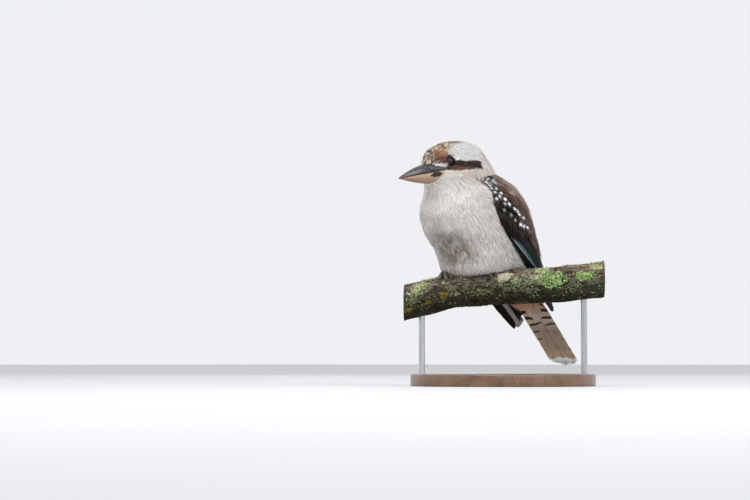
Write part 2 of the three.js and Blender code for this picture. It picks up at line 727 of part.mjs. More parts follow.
// The display stand.
const rods = ROD_PLACES.map((s) => {
  const at = ALONG.clone().multiplyScalar(s);
  const high = perchAt(s).z - BASE_HEIGHT - GAP;
  const rod = new THREE.CylinderGeometry(ROD_RADIUS, ROD_RADIUS, high, 20);
  rod.rotateX(Math.PI / 2);
  rod.translate(at.x, at.y, BASE_HEIGHT + GAP + high / 2);
  return solid(rod).subtract(perchFat);
});
const BASE_FLAT = BASE_RADIUS - BASE_CHAMFER;
const profile = [
  [0, 0],
  [BASE_FLAT, 0],
  [BASE_RADIUS, BASE_CHAMFER],
  [BASE_RADIUS, BASE_HEIGHT - BASE_CHAMFER],
  [BASE_FLAT, BASE_HEIGHT],
  [0, BASE_HEIGHT],
].map(([x, y]) => new THREE.Vector2(x, y));
const disc = new THREE.LatheGeometry(profile, 56);
disc.rotateX(Math.PI / 2);
disc.translate(HOME[0], HOME[1], 0);
const base = solid(disc);

addNode('head', head, 0xd8cdbd, 0.9);
addNode('neck', neck, 0xddd8ce, 0.9);
addNode('torso', torso, 0xe2ddd3, 0.9);
addNode('bill_upper', billUpper, 0x3a3a40, 0.45);
addNode('bill_lower', billLower, 0xd9bf9c, 0.45);
addNode('eye_left', eyeBall(1, EYE_RADIUS), 0x14100e, 0.08);
addNode('eye_right', eyeBall(-1, EYE_RADIUS), 0x14100e, 0.08);
addNode('wing_left', wingLeft, 0x3b2e28, 0.8);
addNode('wing_right', wingRight, 0x3b2e28, 0.8);
addNode('tail', tail, 0xa27f62, 0.8);
addNode('leg_left', legs[0], 0x6b675a, 0.7);
addNode('leg_right', legs[1], 0x6b675a, 0.7);
addNode('perch', perch, 0x4b463b, 0.95);
addNode('stand_rod_left', rods[1], 0xb9bcc0, 0.3, 1);
addNode('stand_rod_right', rods[0], 0xb9bcc0, 0.3, 1);
addNode('stand_base', base, 0x6d4a30, 0.5);

export default group;
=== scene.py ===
import math

import bpy
import numpy as np
from mathutils import Matrix, Vector, kdtree


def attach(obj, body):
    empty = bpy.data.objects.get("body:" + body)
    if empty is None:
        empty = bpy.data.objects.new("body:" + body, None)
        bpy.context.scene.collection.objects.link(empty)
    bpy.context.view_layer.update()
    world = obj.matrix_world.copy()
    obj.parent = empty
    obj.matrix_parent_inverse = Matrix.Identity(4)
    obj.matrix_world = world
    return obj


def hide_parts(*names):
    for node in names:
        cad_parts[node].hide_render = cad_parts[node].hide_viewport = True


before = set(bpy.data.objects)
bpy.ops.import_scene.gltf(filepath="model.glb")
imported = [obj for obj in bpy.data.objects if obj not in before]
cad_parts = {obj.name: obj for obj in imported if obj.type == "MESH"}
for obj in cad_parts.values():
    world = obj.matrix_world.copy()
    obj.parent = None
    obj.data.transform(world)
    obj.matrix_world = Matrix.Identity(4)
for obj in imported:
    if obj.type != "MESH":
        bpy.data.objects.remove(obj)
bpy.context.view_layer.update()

MM = 0.001
TAU = 2 * math.pi
rng = np.random.default_rng(20391)

# Driving dimensions, the same as the solids have.
PERCH_HEADING = math.radians(40)
ROD_PLACES = (-58.0, 152.0)
BASE_RADIUS = 120.0
BASE_HEIGHT = 16.0
HOME_ALONG = sum(ROD_PLACES) / 2
ALONG = np.array([math.cos(PERCH_HEADING), math.sin(PERCH_HEADING), 0.0])
TOWARD = np.array([math.sin(PERCH_HEADING), -math.cos(PERCH_HEADING), 0.0])
HOME = HOME_ALONG * ALONG

# Camera: azimuth, elevation, place in metres, and focal length and frame in pixels.
VIEW_AZIMUTH = math.radians(42.3)
VIEW_ELEVATION = math.radians(-2.8)
CAMERA_PLACE = (1.8936, -2.3275, 0.0300)
FOCAL_PIXELS = 2307.7
FRAME_PIXELS = 750
SENSOR_WIDTH = 36.0

# Body sections: under point (y, z), upper point (y, z), half width, height of the widest place, squareness.
SECTIONS = [
    (-77, 259, -83.5, 281, 11.5, 0.45, 2.0),
    (-72, 256, -77, 294, 14.5, 0.45, 2.0),
    (-68, 253.5, -67, 304, 18, 0.45, 2.05),
    (-65, 251, -53, 311, 22, 0.45, 2.1),
    (-63, 248, -36, 315.5, 28, 0.45, 2.1),
    (-62, 243, -16, 318, 34, 0.45, 2.1),
    (-63, 237, 2, 317, 37, 0.45, 2.1),
    (-65, 230, 15, 310, 38.5, 0.45, 2.1),
    (-67, 221, 26, 297, 41, 0.46, 2.15),
    (-65, 211, 37, 281, 46, 0.48, 2.2),
    (-60, 199, 53, 265, 50, 0.5, 2.25),
    (-51, 187, 68, 247, 53, 0.5, 2.3),
    (-41, 174, 79, 227, 54, 0.5, 2.3),
    (-31, 158, 88, 205, 53, 0.5, 2.3),
    (-23, 145, 97, 182, 50, 0.5, 2.25),
    (8, 141, 106, 163, 46, 0.5, 2.2),
    (42, 136, 113, 150, 38, 0.5, 2.1),
    (66, 129, 121, 140, 31, 0.5, 2.1),
    (90, 116, 130, 130, 26, 0.5, 2.1),
    (112, 103, 141, 120, 21, 0.5, 2.1),
]
# Where the skin ends, counted in sections. How far it lies under the feathers' surface, in millimetres.
BODY_END = 18.6
SKIN_DEPTH = 2.2

# The left eye: middle of its front, the way it looks, radius, the ball's centre behind its front, and half
# the width and the height that the lids leave open.
EYE_PLACE = np.array([19.8, -54.4, 288.3])
EYE_AXIS = np.array([0.87, -0.48, 0.1]) / math.sqrt(0.87 ** 2 + 0.48 ** 2 + 0.1 ** 2)
EYE_RADIUS = 7.2
EYE_DEPTH = 7.0
OPEN_WIDE = 5.7
OPEN_HIGH = 5.2

# Helpers for numbers.


def lerp(a, b, t):
    return a + (b - a) * t


def smooth(low, high, x):
    t = np.clip((x - low) / (high - low), 0, 1)
    return t * t * (3 - 2 * t)


def unit(v):
    return v / np.maximum(np.linalg.norm(v, axis=-1, keepdims=True), 1e-9)


def through(values, t):
    p = np.asarray(values, float)
    last = len(p) - 1
    t = np.clip(t, 0, last)
    i = np.minimum(t.astype(int), last - 1)
    f = t - i
    p0 = p[np.maximum(i - 1, 0)]
    p1 = p[i]
    p2 = p[i + 1]
    p3 = p[np.minimum(i + 2, last)]
    bend = 2 * p0 - 5 * p1 + 4 * p2 - p3
    turn = 3 * p1 - p0 - 3 * p2 + p3
    return p1 + 0.5 * f * (p2 - p0 + f * (bend + f * turn))


def hashed(i, j, k, seed):
    n = (i * 374761393 + j * 668265263 + k * 2147483647 + seed * 144665) & 0xFFFFFFFF
    n = ((n ^ (n >> 13)) * 1274126177) & 0xFFFFFFFF
    return ((n ^ (n >> 16)) & 0xFFFFFF) / 0xFFFFFF


def noise3(p, size, seed=0):
    """Smooth noise from 0 to 1 over points, one wave each size millimetres. size may differ per axis."""
    q = np.asarray(p, float) / size
    base = np.floor(q).astype(np.int64)
    f = q - base
    f = f * f * (3 - 2 * f)
    total = 0
    for dx in (0, 1):
        for dy in (0, 1):
            for dz in (0, 1):
                weight = (
                    np.where(dx, f[..., 0], 1 - f[..., 0])
                    * np.where(dy, f[..., 1], 1 - f[..., 1])
                    * np.where(dz, f[..., 2], 1 - f[..., 2])
                )
                total = total + weight * hashed(base[..., 0] + dx, base[..., 1] + dy, base[..., 2] + dz, seed)
    return total


def layered(p, size, seed=0, octaves=3):
    total = 0
    share = 0.5
    for o in range(octaves):
        total = total + share * noise3(p, np.asarray(size) / 2 ** o, seed + 17 * o)
        share *= 0.5
    return total / (1 - 0.5 ** octaves)


def mix(a, b, t):
    t = np.asarray(t)[..., None]
    return np.asarray(a) * (1 - t) + np.asarray(b) * t


def oval(gaps, power=1.0):
    """1 in the middle of a soft oval, from pairs (distance along a direction, size).

    Higher powers make its rim harder."""
    return np.exp(-sum((gap / size) ** 2 for gap, size in gaps) ** power)


def paint(colour, *coats):
    """Lays coats (colour, share) over a colour, one after the other."""
    for coat, share in coats:
        colour = mix(colour, coat, share)
    return colour


def look_up(keys, at, column=1):
    """A value between the rows of a table, whose column 0 rises."""
    return np.interp(at, keys[0], keys[column])


def one_side(p):
    """A copy of the points, with those on the bird's right mirrored to its left."""
    q = np.array(p)
    q[..., 0] = np.abs(q[..., 0])
    return q


def tree_of(points):
    tree = kdtree.KDTree(len(points))
    for i, p in enumerate(points):
        tree.insert(p, i)
    tree.balance()
    return tree


# Helpers for meshes.


def outward(points, faces):
    """The faces, turned round if they would face inwards."""
    volume = 0.0
    for f in faces:
        corner = points[f[:, 0]]
        for k in range(1, f.shape[1] - 1):
            volume += np.einsum("ij,ij->i", corner, np.cross(points[f[:, k]], points[f[:, k + 1]])).sum()
    return faces if volume > 0 else [f[:, ::-1] for f in faces]


def make_object(name, points, faces, tint=None, bake=None, vane=None, is_smooth=True):
    """A mesh object from points in millimetres about the feet and a list of face arrays of one size each."""
    points = np.asarray(points, float).reshape(-1, 3)
    faces = outward(points - points.mean(0), faces)
    mesh = bpy.data.meshes.new(name)
    placed = (points - HOME) * MM
    mesh.vertices.add(len(placed))
    mesh.vertices.foreach_set("co", placed.astype(np.float32).ravel())
    corners = np.concatenate([np.asarray(f).ravel() for f in faces]).astype(np.int32)
    sizes = np.concatenate([np.full(len(f), np.asarray(f).shape[1]) for f in faces])
    mesh.loops.add(len(corners))
    mesh.loops.foreach_set("vertex_index", corners)
    mesh.polygons.add(len(sizes))
    starts = np.concatenate([[0], np.cumsum(sizes)[:-1]]).astype(np.int32)
    mesh.polygons.foreach_set("loop_start", starts)
    mesh.polygons.foreach_set("use_smooth", np.full(len(sizes), is_smooth))
    for layer_name, places in (("OFBake", bake), ("Vane", vane)):
        if places is not None:
            layer = mesh.uv_layers.new(name=layer_name)
            spread = np.asarray(places, float).reshape(-1, 2)[corners]
            layer.data.foreach_set("uv", spread.astype(np.float32).ravel())
    mesh.update(calc_edges=True)
    if tint is not None:
        layer = mesh.attributes.new("tint", "FLOAT_COLOR", "POINT")
        rgba = np.ones((len(placed), 4), np.float32)
        rgba[:, :3] = np.asarray(tint, float).reshape(-1, 3)
        layer.data.foreach_set("color", rgba.ravel())
    obj = bpy.data.objects.new(name, mesh)
    bpy.context.scene.collection.objects.link(obj)
    return obj


def dress(obj, material, replaced=()):
    obj.data.materials.clear()
    obj.data.materials.append(material)
    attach(obj, "root")
    if replaced:
        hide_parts(*replaced)
    return obj


def grid_faces(rows, columns):
    """Faces of a grid of points, rows by columns, whose last column joins the first."""
    i, j = np.meshgrid(np.arange(rows - 1), np.arange(columns), indexing="ij")
    a = i * columns + j
    b = i * columns + (j + 1) % columns
    return np.stack([a, b, b + columns, a + columns], -1).reshape(-1, 4)


def capped_loft(rings):
    """Points and faces of a closed skin over rings (rows, columns, 3)."""
    rows, columns = rings.shape[:2]
    points = np.concatenate([rings.reshape(-1, 3), rings[0].mean(0)[None], rings[-1].mean(0)[None]])
    j = np.arange(columns)
    after = (j + 1) % columns
    first = rows * columns
    start = np.stack([after, j, np.full(columns, first)], -1)
    last_ring = (rows - 1) * columns
    end = np.stack([last_ring + j, last_ring + after, np.full(columns, first + 1)], -1)
    return points, [grid_faces(rows, columns), np.concatenate([start, end])]


def join_lofts(lofts):
    """Several closed skins as one: points and faces."""
    starts = np.cumsum([0] + [len(points) for points, _ in lofts])
    faces = [np.concatenate([f[kind] + start for (_, f), start in zip(lofts, starts)]) for kind in (0, 1)]
    return np.concatenate([points for points, _ in lofts]), faces


# The body's surface.

SECTION_KEYS = np.array(SECTIONS, float).T
# Swellings and hollows of the skin that both sides share: centre, radius and height.
RELIEF = [
    ((3, -73, 299), 9.5, 2.6),
    ((17, -57, 297.5), 6.5, 1.3),
    ((20.5, -54.5, 288.3), 6.0, -1.6),
    ((14, -71, 285), 6.5, -1.0),
    ((31, -36, 276), 13.0, 1.6),
    ((22, -55, 272), 6.0, 1.0),
    ((14, -64, 252), 12.0, -3.4),
    ((26, -56, 253), 13.0, -3.6),
    ((28, -62, 226), 18.0, 1.6),
    ((0, -6, 317), 17.0, -2.4),
    ((14, 12, 300), 14.0, -0.9),
    ((30, -24, 171), 21.0, -4.8),
    ((28, -8, 150), 15.0, -1.2),
]
# A hollow of the right side alone, under the cheek that the head is turned towards.
RIGHT_RELIEF = [((-25, -58, 254), 11.0, -5.0)]


def body_plain(t, turn, lift):
    uy, uz, dy, dz, wide, share, square = (through(k, t) for k in SECTION_KEYS)
    dy = dy - uy
    dz = dz - uz
    high = np.hypot(dy, dz)
    power = 2 / square
    s = np.sin(turn)
    c = -np.cos(turn)
    x = (wide + lift) * np.sign(s) * np.abs(s) ** power
    reach = np.where(c > 0, (1 - share) * high, share * high) + lift
    along = share * high + reach * np.sign(c) * np.abs(c) ** power
    return np.stack([x, uy + dy / high * along, uz + dz / high * along], -1)


def swell(p, forms):
    total = 0
    for centre, radius, height in forms:
        gap = ((p - np.array(centre)) ** 2).sum(-1)
        total = total + height * np.exp(-gap / radius ** 2)
    return total


def body_point(t, turn, lift=0.0):
    t, turn, lift = np.broadcast_arrays(np.asarray(t, float), turn, lift)
    plain = body_plain(t, turn, lift)
    return body_plain(t, turn, lift + (swell(one_side(plain), RELIEF) + swell(plain, RIGHT_RELIEF)))


def body_frame(t, turn):
    """Normal of the body's surface, and its millimetres for one t (towards the tail) and for one turn."""
    e = 0.02
    low = np.clip(t - e, 0, BODY_END)
    high = np.clip(t + e, 0, BODY_END)
    run = (body_point(high, turn) - body_point(low, turn)) / (high - low)[..., None]
    round_ = (body_point(t, turn + e) - body_point(t, turn - e)) / (2 * e)
    normal = unit(np.cross(run, round_))
    return normal, run, round_


# The branch.

PERCH = [
    (-81, 107.5, 23.6),
    (-48, 116.5, 23.2),
    (-20, 123.6, 23.2),
    (8, 126, 22.6),
    (50, 128, 22.2),
    (96, 130.6, 22.8),
    (150, 134.6, 23.2),
    (178, 138, 23.5),
]
PERCH_KEYS = np.array(PERCH, float).T
PERCH_TABLE = [through(k, np.linspace(0, len(PERCH) - 1, 400)) for k in PERCH_KEYS]


def perch_at(s):
    """Height of the branch's middle line, and its radius."""
    return look_up(PERCH_TABLE, s), look_up(PERCH_TABLE, s, 2)


def perch_ridge(s, turn):
    broad = 0.35 * np.sin(3 * turn + s * 0.045)
    fine = 0.3 * np.sin(5 * turn - s * 0.08 + 1)
    return broad + fine + 0.4 * np.sin(s * 0.11 + 2 * turn)


def perch_point(s, turn, lift=0.0):
    s, turn, lift = np.broadcast_arrays(np.asarray(s, float), turn, lift)
    z, r = perch_at(s)
    reach = r + lift + perch_ridge(s, turn)
    up = np.zeros(s.shape + (3,))
    up[..., 2] = z + reach * np.cos(turn)
    return s[..., None] * ALONG + up + (reach * np.sin(turn))[..., None] * TOWARD


def clear_perch(p, room=0.5):
    """Points that would lie in the branch, moved straight out of it."""
    s = p @ ALONG
    z, r = perch_at(s)
    toward = p @ TOWARD
    up = p[..., 2] - z
    reach = np.hypot(toward, up)
    turn = np.arctan2(toward, up)
    want = r + perch_ridge(s, turn) + room
    inside = (reach < want) & (s > PERCH[0][0] - room) & (s < PERCH[-1][0] + room)
    grow = np.where(inside, want / np.maximum(reach, 1e-6), 1.0)
    moved = (s[..., None] * ALONG) + (toward * grow)[..., None] * TOWARD
    moved[..., 2] = z + up * grow
    return np.where(inside[..., None], moved, p)


# Colours, as the light that each surface gives back.

CREAM = (0.83, 0.79, 0.755)
WHITE = (0.90, 0.885, 0.87)
GREY_WHITE = (0.80, 0.79, 0.775)
GREY_MARK = (0.46, 0.425, 0.39)
BUFF = (0.80, 0.63, 0.40)
PINKISH = (0.78, 0.655, 0.585)
BREAST_BROWN_AND_SHADE = (0.27, 0.215, 0.175)
STRIPE = (0.030, 0.019, 0.014)
STRIPE_BROWN = (0.17, 0.088, 0.052)
GAPE_DARK = (0.024, 0.012, 0.011)
RUFOUS = (0.40, 0.150, 0.052)
RUFOUS_DEEP = (0.115, 0.042, 0.022)
SPECKLE = (0.075, 0.038, 0.024)
MANTLE = (0.30, 0.205, 0.170)
MANTLE_DARK = (0.095, 0.058, 0.046)
MANTLE_PALE = (0.62, 0.455, 0.385)
COVERT = (0.008, 0.006, 0.005)
COVERT_BROWN = (0.042, 0.028, 0.021)
SPOT = (0.90, 0.91, 0.92)
BLUE = (0.010, 0.034, 0.038)
BLUE_PALE = (0.42, 0.56, 0.62)
GREEN_GREY = (0.026, 0.040, 0.034)
FLIGHT = (0.007, 0.006, 0.006)
FLIGHT_UNDER = (0.009, 0.007, 0.007)
FEATHER_GREY = (0.46, 0.42, 0.40)
TAIL_CREAM = (0.74, 0.60, 0.48)
TAIL_TAN = (0.66, 0.39, 0.24)
TAIL_BROWN = (0.43, 0.345, 0.255)
TAIL_RUFOUS = (0.40, 0.165, 0.080)
TAIL_BAR = (0.022, 0.012, 0.009)

# The stripe through the eye: y, middle's height and half height. It ends at STRIPE_END.
STRIPE_KEYS = np.array([
    (-68, 277.0, 0.6),
    (-63, 279.0, 2.2),
    (-58, 282.6, 6.6),
    (-52, 283.2, 7.4),
    (-40, 282.6, 5.8),
    (-25, 284.8, 5.4),
    (-13, 286.4, 5.0),
]).T
STRIPE_END = -12.5
# Section from which the upper side is brown.
NECK_FOOT = 9.6


def spots(p, size, seed, share):
    """Small soft-edged spots: 1 in a spot, 0 elsewhere."""
    return smooth(1 - share, 1 - share + 0.10, noise3(p, size, seed))


# The blackish patch at the lower bill's root: its middle's y and z, slope, half length and half height.
GAPE_Y, GAPE_Z, GAPE_SLOPE, GAPE_LONG, GAPE_HIGH = -76.0, 269.7, 0.18, 8.4, 2.9


def gape_patch(p):
    """The blackish patch at the root of the lower bill and on the short feathers beside it."""
    ahead = p[..., 1] - GAPE_Y
    above = p[..., 2] - GAPE_Z - GAPE_SLOPE * ahead
    gap = np.abs(ahead / GAPE_LONG) ** 2.6 + (above / GAPE_HIGH) ** 2
    return smooth(1.25, 0.8, gap + 1.1 * (noise3(p, 1.8, 54) - 0.5))


def head_markings(colour, p, t):
    x = np.abs(p[..., 0])
    y = p[..., 1]
    z = p[..., 2]
    patchy = layered(p, 9, 3)
    fine = noise3(p, 1.3, 5)
    streak = noise3(p, (1.5, 4.5, 1.9), 9)
    head = smooth(7.6, 6.4, t)
    brow = head * smooth(284, 291, z)
    colour = mix(colour, GREY_WHITE, brow * (0.55 + 0.4 * patchy))
    colour = mix(colour, GREY_MARK, brow * smooth(0.60, 0.80, streak) * 0.28)
    # Warm cheeks, and a thin grey line under them.
    cheek = np.exp(-((y + 38) ** 2 / 520 + (z - 270.5) ** 2 / 48)) * smooth(8, 20, x)
    colour = mix(colour, PINKISH, 0.9 * cheek)
    thin = np.exp(-((z - 264.5 - 0.006 * (y + 55) ** 2) / 0.9) ** 2) * np.exp(-((y + 50) / 12) ** 4)
    colour = mix(colour, GREY_MARK, 0.45 * thin * smooth(8, 20, x))
    # Speckled forehead and streaked crown.
    front = smooth(-57, -65, y) * smooth(280, 284, z)
    front = np.maximum(front, smooth(-46, -58, y) * smooth(299, 305, z))
    speck = np.maximum(spots(p, 2.0, 5, 0.47), spots(p, 1.3, 6, 0.42))
    base = mix(BUFF, CREAM, smooth(0.3, 0.7, patchy))
    base = mix(base, RUFOUS, 0.35 * smooth(0.45, 0.7, noise3(p, 5.0, 8)))
    by_bill = smooth(-69, -78, y) * smooth(300, 291, z)
    base = mix(base, PINKISH, 0.6 * by_bill)
    speck = np.maximum(speck, by_bill * spots(p, 1.4, 7, 0.44))
    colour = mix(colour, base, front)
    colour = mix(colour, SPECKLE, front * speck * 0.92)
    crown = smooth(17, 9, x) * smooth(-66, -58, y) * smooth(6, -30, y) * smooth(296, 304, z)
    colour = mix(colour, mix(BUFF, SPECKLE, smooth(0.40, 0.58, streak)), crown * 0.88)
    # Flecks at the nape.
    nape = np.exp(-((z - 299 + 0.45 * (y - 4)) / 8.0) ** 2) * smooth(-9, 3, y) * smooth(34, 20, y)
    nape = nape * (0.55 + 0.45 * smooth(6, 20, x))
    colour = mix(colour, BUFF, nape * 0.25)
    colour = mix(colour, SPECKLE, nape * smooth(0.52, 0.60, noise3(p, (1.5, 3.4, 1.8), 10)) * 0.85)
    # Rufous patch before the eye, darker towards it.
    rufous = oval(((y + 66.5, 9.0), (z - 296, 6.6)), 1.5) * smooth(3, 8, x)
    colour = mix(colour, RUFOUS, rufous * (0.72 + 0.28 * fine))
    before = oval(((y + 67, 9.5), (z - 289.8, 5.0)), 1.5) * smooth(8, 12, x)
    colour = mix(colour, RUFOUS_DEEP, before * 0.9)
    colour = mix(colour, SPECKLE, rufous * spots(p, 1.7, 14, 0.38) * 0.75)
    # White streaked spot of the lores.
    lore = oval(((y + 69, 9.0), (z - 279.2 + (y + 69) * 0.33, 3.6)), 2) * smooth(7, 10, x)
    colour = mix(colour, mix(WHITE, GREY_MARK, 0.6 * smooth(0.5, 0.75, streak)), lore)
    colour = mix(colour, GAPE_DARK, gape_patch(p) * smooth(8, 11, x))
    # The dark stripe through the eye, squared off behind.
    middle = look_up(STRIPE_KEYS, y)
    half = look_up(STRIPE_KEYS, y, 2) + 1.0 * (fine - 0.5)
    band = smooth(0.7, -0.5, np.abs(z - middle) - half) * smooth(8, 11, x)
    band = band * smooth(STRIPE_END + 1.4, STRIPE_END - 1.0, y + 1.6 * (fine - 0.5)) * smooth(-68, -65, y)
    under = smooth(283.0, 280.0, z) * smooth(-62, -54, y) * smooth(-22, -40, y)
    brownness = 0.3 * smooth(0.5, 0.8, streak) + under * (0.6 + 0.6 * fine)
    dark = mix(STRIPE, STRIPE_BROWN, np.clip(brownness, 0, 1))
    colour = mix(colour, dark, band)
    # Dark rim of short feathers about the eye.
    gap = np.stack([x, y, z], -1) - EYE_PLACE
    off = np.linalg.norm(gap - (gap @ EYE_AXIS)[..., None] * EYE_AXIS, axis=-1)
    rim = smooth(8.8, 7.3, off) * (np.abs(gap @ EYE_AXIS) < 9) * smooth(8, 12, x)
    return mix(colour, STRIPE, rim * 0.9)


def plumage(p, t):
    """Colour of the body's feathers at points p (millimetres), t along the body."""
    x = np.abs(p[..., 0])
    y = p[..., 1]
    z = p[..., 2]
    patchy = layered(p, 9, 3)
    fine = noise3(p, 2.1, 5)
    streak = noise3(p, (1.7, 4.5, 2.2), 9)
    colour = mix(CREAM, WHITE, smooth(0.35, 0.7, patchy) * 0.5)
    collar = smooth(6.0, 7.5, t) * smooth(9.8, 8.6, t) * smooth(256, 266, z)
    colour = mix(colour, PINKISH, 0.55 * collar)
    colour = head_markings(colour, p, t)
    # Breast: soft wavy mottling, a streaky brown patch low in the middle with painted shade, fine bars and
    # painted light on the flanks.
    breast = smooth(7.5, 9.5, t)
    mottle = layered(p, (8, 8, 5), 21)
    colour = mix(colour, GREY_MARK, breast * smooth(0.46, 0.74, mottle) * 0.36)
    wave = 0.5 + 0.5 * np.sin(z * 0.62 + 7 * noise3(p, 13, 25))
    colour = mix(colour, GREY_MARK, breast * wave * smooth(0.3, 0.7, noise3(p, 11, 27)) * 0.20)
    low = np.maximum(
        oval(((p[..., 0] - 9, 25), (y + 42, 30), (z - 177, 30)), 1.4),
        oval(((p[..., 0] - 21, 13), (y + 34, 24), (z - 170, 17))))
    vertical = layered(p, (4, 4, 26), 33)
    # Painted shade, with streaky brown marking, low on the breast.
    colour = mix(colour, GREY_MARK, low * 0.35)
    colour = mix(colour, BREAST_BROWN_AND_SHADE, low * (0.26 + 0.9 * smooth(0.36, 0.62, vertical)) * 0.90)
    flank = smooth(28, 42, x) * breast * smooth(132, 150, z)
    bars = smooth(0.1, 0.7, np.sin(z * 1.25 + 3.0 * noise3(p, 12, 40)))
    bars = bars * smooth(0.35, 0.6, noise3(p, 3.0, 43))
    # Painted light: the flanks are lightened against the shade that falls on them.
    colour = mix(colour, WHITE, flank * 0.35)
    colour = mix(colour, GREY_MARK, flank * bars * 0.34)
    shoulder = np.exp(-((y + 17) / 12) ** 4 - ((z - 266 + 0.35 * (y + 22)) / 5.0) ** 4) * smooth(24, 32, x)
    colour = mix(colour, SPECKLE, shoulder * smooth(0.34, 0.46, noise3(p, (2.5, 2.5, 3.5), 47)) * 0.8)
    # Brown back between the wings, and the barred rump.
    upper = smooth(NECK_FOOT - 0.9, NECK_FOOT + 0.1, t + 0.6 * (fine - 0.5))
    back_line = lerp(262, 150, np.clip(y / 95, 0, 1))
    back = upper * smooth(-0.05, 0.12, (z - back_line) / 60) * smooth(-18, 8, y)
    brown = mix(MANTLE, MANTLE_PALE, 0.4 * smooth(0.45, 0.8, streak))
    colour = mix(colour, brown, np.clip(back, 0, 1))
    vent = smooth(15.8, 17.2, t)
    vent_bar = smooth(0.45, 0.8, np.sin(t * 8.0 + 2.0 * fine))
    colour = mix(colour, mix(TAIL_TAN, TAIL_BAR, vent_bar * 0.7), vent)
    rump_line = lerp(158, 118, np.clip((y - 80) / 60, 0, 1))
    rump = smooth(14.2, 15.5, t) * smooth(0.0, 4.0, z - rump_line)
    rump_bar = smooth(0.2, 0.6, np.sin(t * 9.0 + 1.5 * fine))
    return mix(colour, mix(TAIL_RUFOUS, TAIL_BAR, rump_bar * 0.8), rump)


# Feathers.

# Along the body: t, spacing, length and half width of the feathers, height of their tips, softness.
FEATHER_KEYS = np.array([
    (0.0, 1.25, 3.0, 0.80, 0.30, 0.5),
    (1.2, 1.50, 4.2, 1.00, 0.35, 0.5),
    (3.0, 1.90, 6.5, 1.35, 0.45, 0.6),
    (5.0, 2.20, 8.5, 1.75, 0.38, 0.7),
    (7.0, 2.35, 11.0, 2.4, 0.32, 0.8),
    (9.0, 2.65, 14.0, 3.3, 0.30, 0.9),
    (11.5, 3.05, 18.0, 4.1, 0.30, 1.0),
    (14.0, 3.30, 20.0, 4.4, 0.32, 1.1),
    (16.0, 3.6, 20.0, 4.4, 0.4, 1.1),
    (18.6, 4.0, 20.0, 4.0, 0.6, 1.0),
]).T
# Height of the roots over the surface, in millimetres.
ROOT_SINK = -1.9
# Size of the feathers beside the eye, as a share, and how far from it they are smaller, in millimetres.
FACE_SMALLEST = 0.55
FACE_REACH = 20
# Half the side of a feather's own place on the map, and how far the coat stays off the bark.
BAKE_PATCH = 0.0015
COAT_ROOM = 0.9


def face_share(p):
    """How far the feathers at p are made smaller about the eye and the bill's root."""
    from_eye = np.linalg.norm(one_side(p) - EYE_PLACE, axis=-1)
    return lerp(FACE_SMALLEST, 1.0, smooth(6, FACE_REACH, from_eye))


def scatter(point, a_range, b_range, gap_of, cells=(240, 200)):
    """Places (a, b) on a surface, evenly spread at the distance that gap_of(a, b, place) asks for."""
    a = np.linspace(*a_range, cells[0] + 1)
    b = np.linspace(*b_range, cells[1] + 1)
    grid = point(*np.meshgrid(a, b, indexing="ij"))
    run = np.linalg.norm(grid[1:, :-1] - grid[:-1, :-1], axis=-1)
    across = np.linalg.norm(grid[:-1, 1:] - grid[:-1, :-1], axis=-1)
    a_cell, b_cell = np.meshgrid(a[:-1], b[:-1], indexing="ij")
    gap = gap_of(a_cell, b_cell, grid[:-1, :-1])
    weight = (run * across / gap ** 2).ravel()
    many = int(weight.sum() * 9)
    cell = rng.choice(len(weight), many, p=weight / weight.sum())
    row, column = np.divmod(cell, cells[1])
    at_a = a[row] + rng.random(many) * (a[1] - a[0])
    at_b = b[column] + rng.random(many) * (b[1] - b[0])
    place = point(at_a, at_b)
    gap = gap_of(at_a, at_b, place) * 0.86
    tree = tree_of(place)
    free = np.ones(many, bool)
    kept = []
    for i in range(many):
        if free[i]:
            kept.append(i)
            for _, j, _ in tree.find_range(place[i], gap[i]):
                free[j] = False
    return at_a[kept], at_b[kept]


def ring_places(lateral):
    """Places across a blade, -1 to 1, round its section: over the top and back underneath."""
    w = np.linspace(-1, 1, lateral)
    return np.concatenate([w, w[-2:0:-1]]), np.concatenate([np.ones(lateral), -np.ones(lateral - 2)])


def blade_points(middle, side, up, width, thick, camber, lateral):
    """Closed blades: points (n, stations, ring, 3)."""
    w, face = ring_places(lateral)
    out = width[..., None] * w
    high = -camber * np.abs(width)[..., None] * w ** 2 + face * thick[..., None] * (1 - w ** 2)
    return middle[:, :, None] + side[:, :, None] * out[..., None] + up[:, :, None] * high[..., None]


def blade_faces(stations, ring):
    quads = []
    for k in range(stations - 1):
        for j in range(ring):
            a = k * ring + j
            b = k * ring + (j + 1) % ring
            quads.append((a, a + ring, b + ring, b))
    last = (stations - 1) * ring
    for j in range(1, ring // 2):
        quads.append((j - 1, j, ring - j, (ring - j + 1) % ring))
        quads.append((last + j - 1, last + (ring - j + 1) % ring, last + ring - j, last + j))
    return np.array(quads)


def joined(width, *arrays):
    """Arrays of any shape as one list of points, colours or map places, width numbers each."""
    return np.concatenate([array.reshape(-1, width) for array in arrays])


def repeat_faces(faces, count, size):
    return (faces[None] + (np.arange(count) * size)[:, None, None]).reshape(-1, faces.shape[1])


# A barb's faces, and where its points lie on the map about the barb's own place.
BARB_POINTS = 7
BARB_FACES = (
    np.array([(1, 4, 3, 0), (2, 5, 4, 1), (0, 3, 5, 2)]),
    np.array([(2, 1, 0), (4, 6, 3), (5, 6, 4), (3, 6, 5)]),
)
BARB_SPREAD = np.array([(-1, 0), (0, 0.3), (1, 0), (-0.7, 0.6), (0, 0.8), (0.7, 0.6), (0, 1)])


def feather_faces(blades, barbs, first=0):
    """Faces of blades (n, stations, ring, 3), and of the barbs of each, whose points follow the blades'."""
    count, stations, ring = blades.shape[:3]
    after = first + count * stations * ring
    return [repeat_faces(blade_faces(stations, ring), count, stations * ring) + first] + [
        repeat_faces(faces, count * barbs, BARB_POINTS) + after for faces in BARB_FACES]


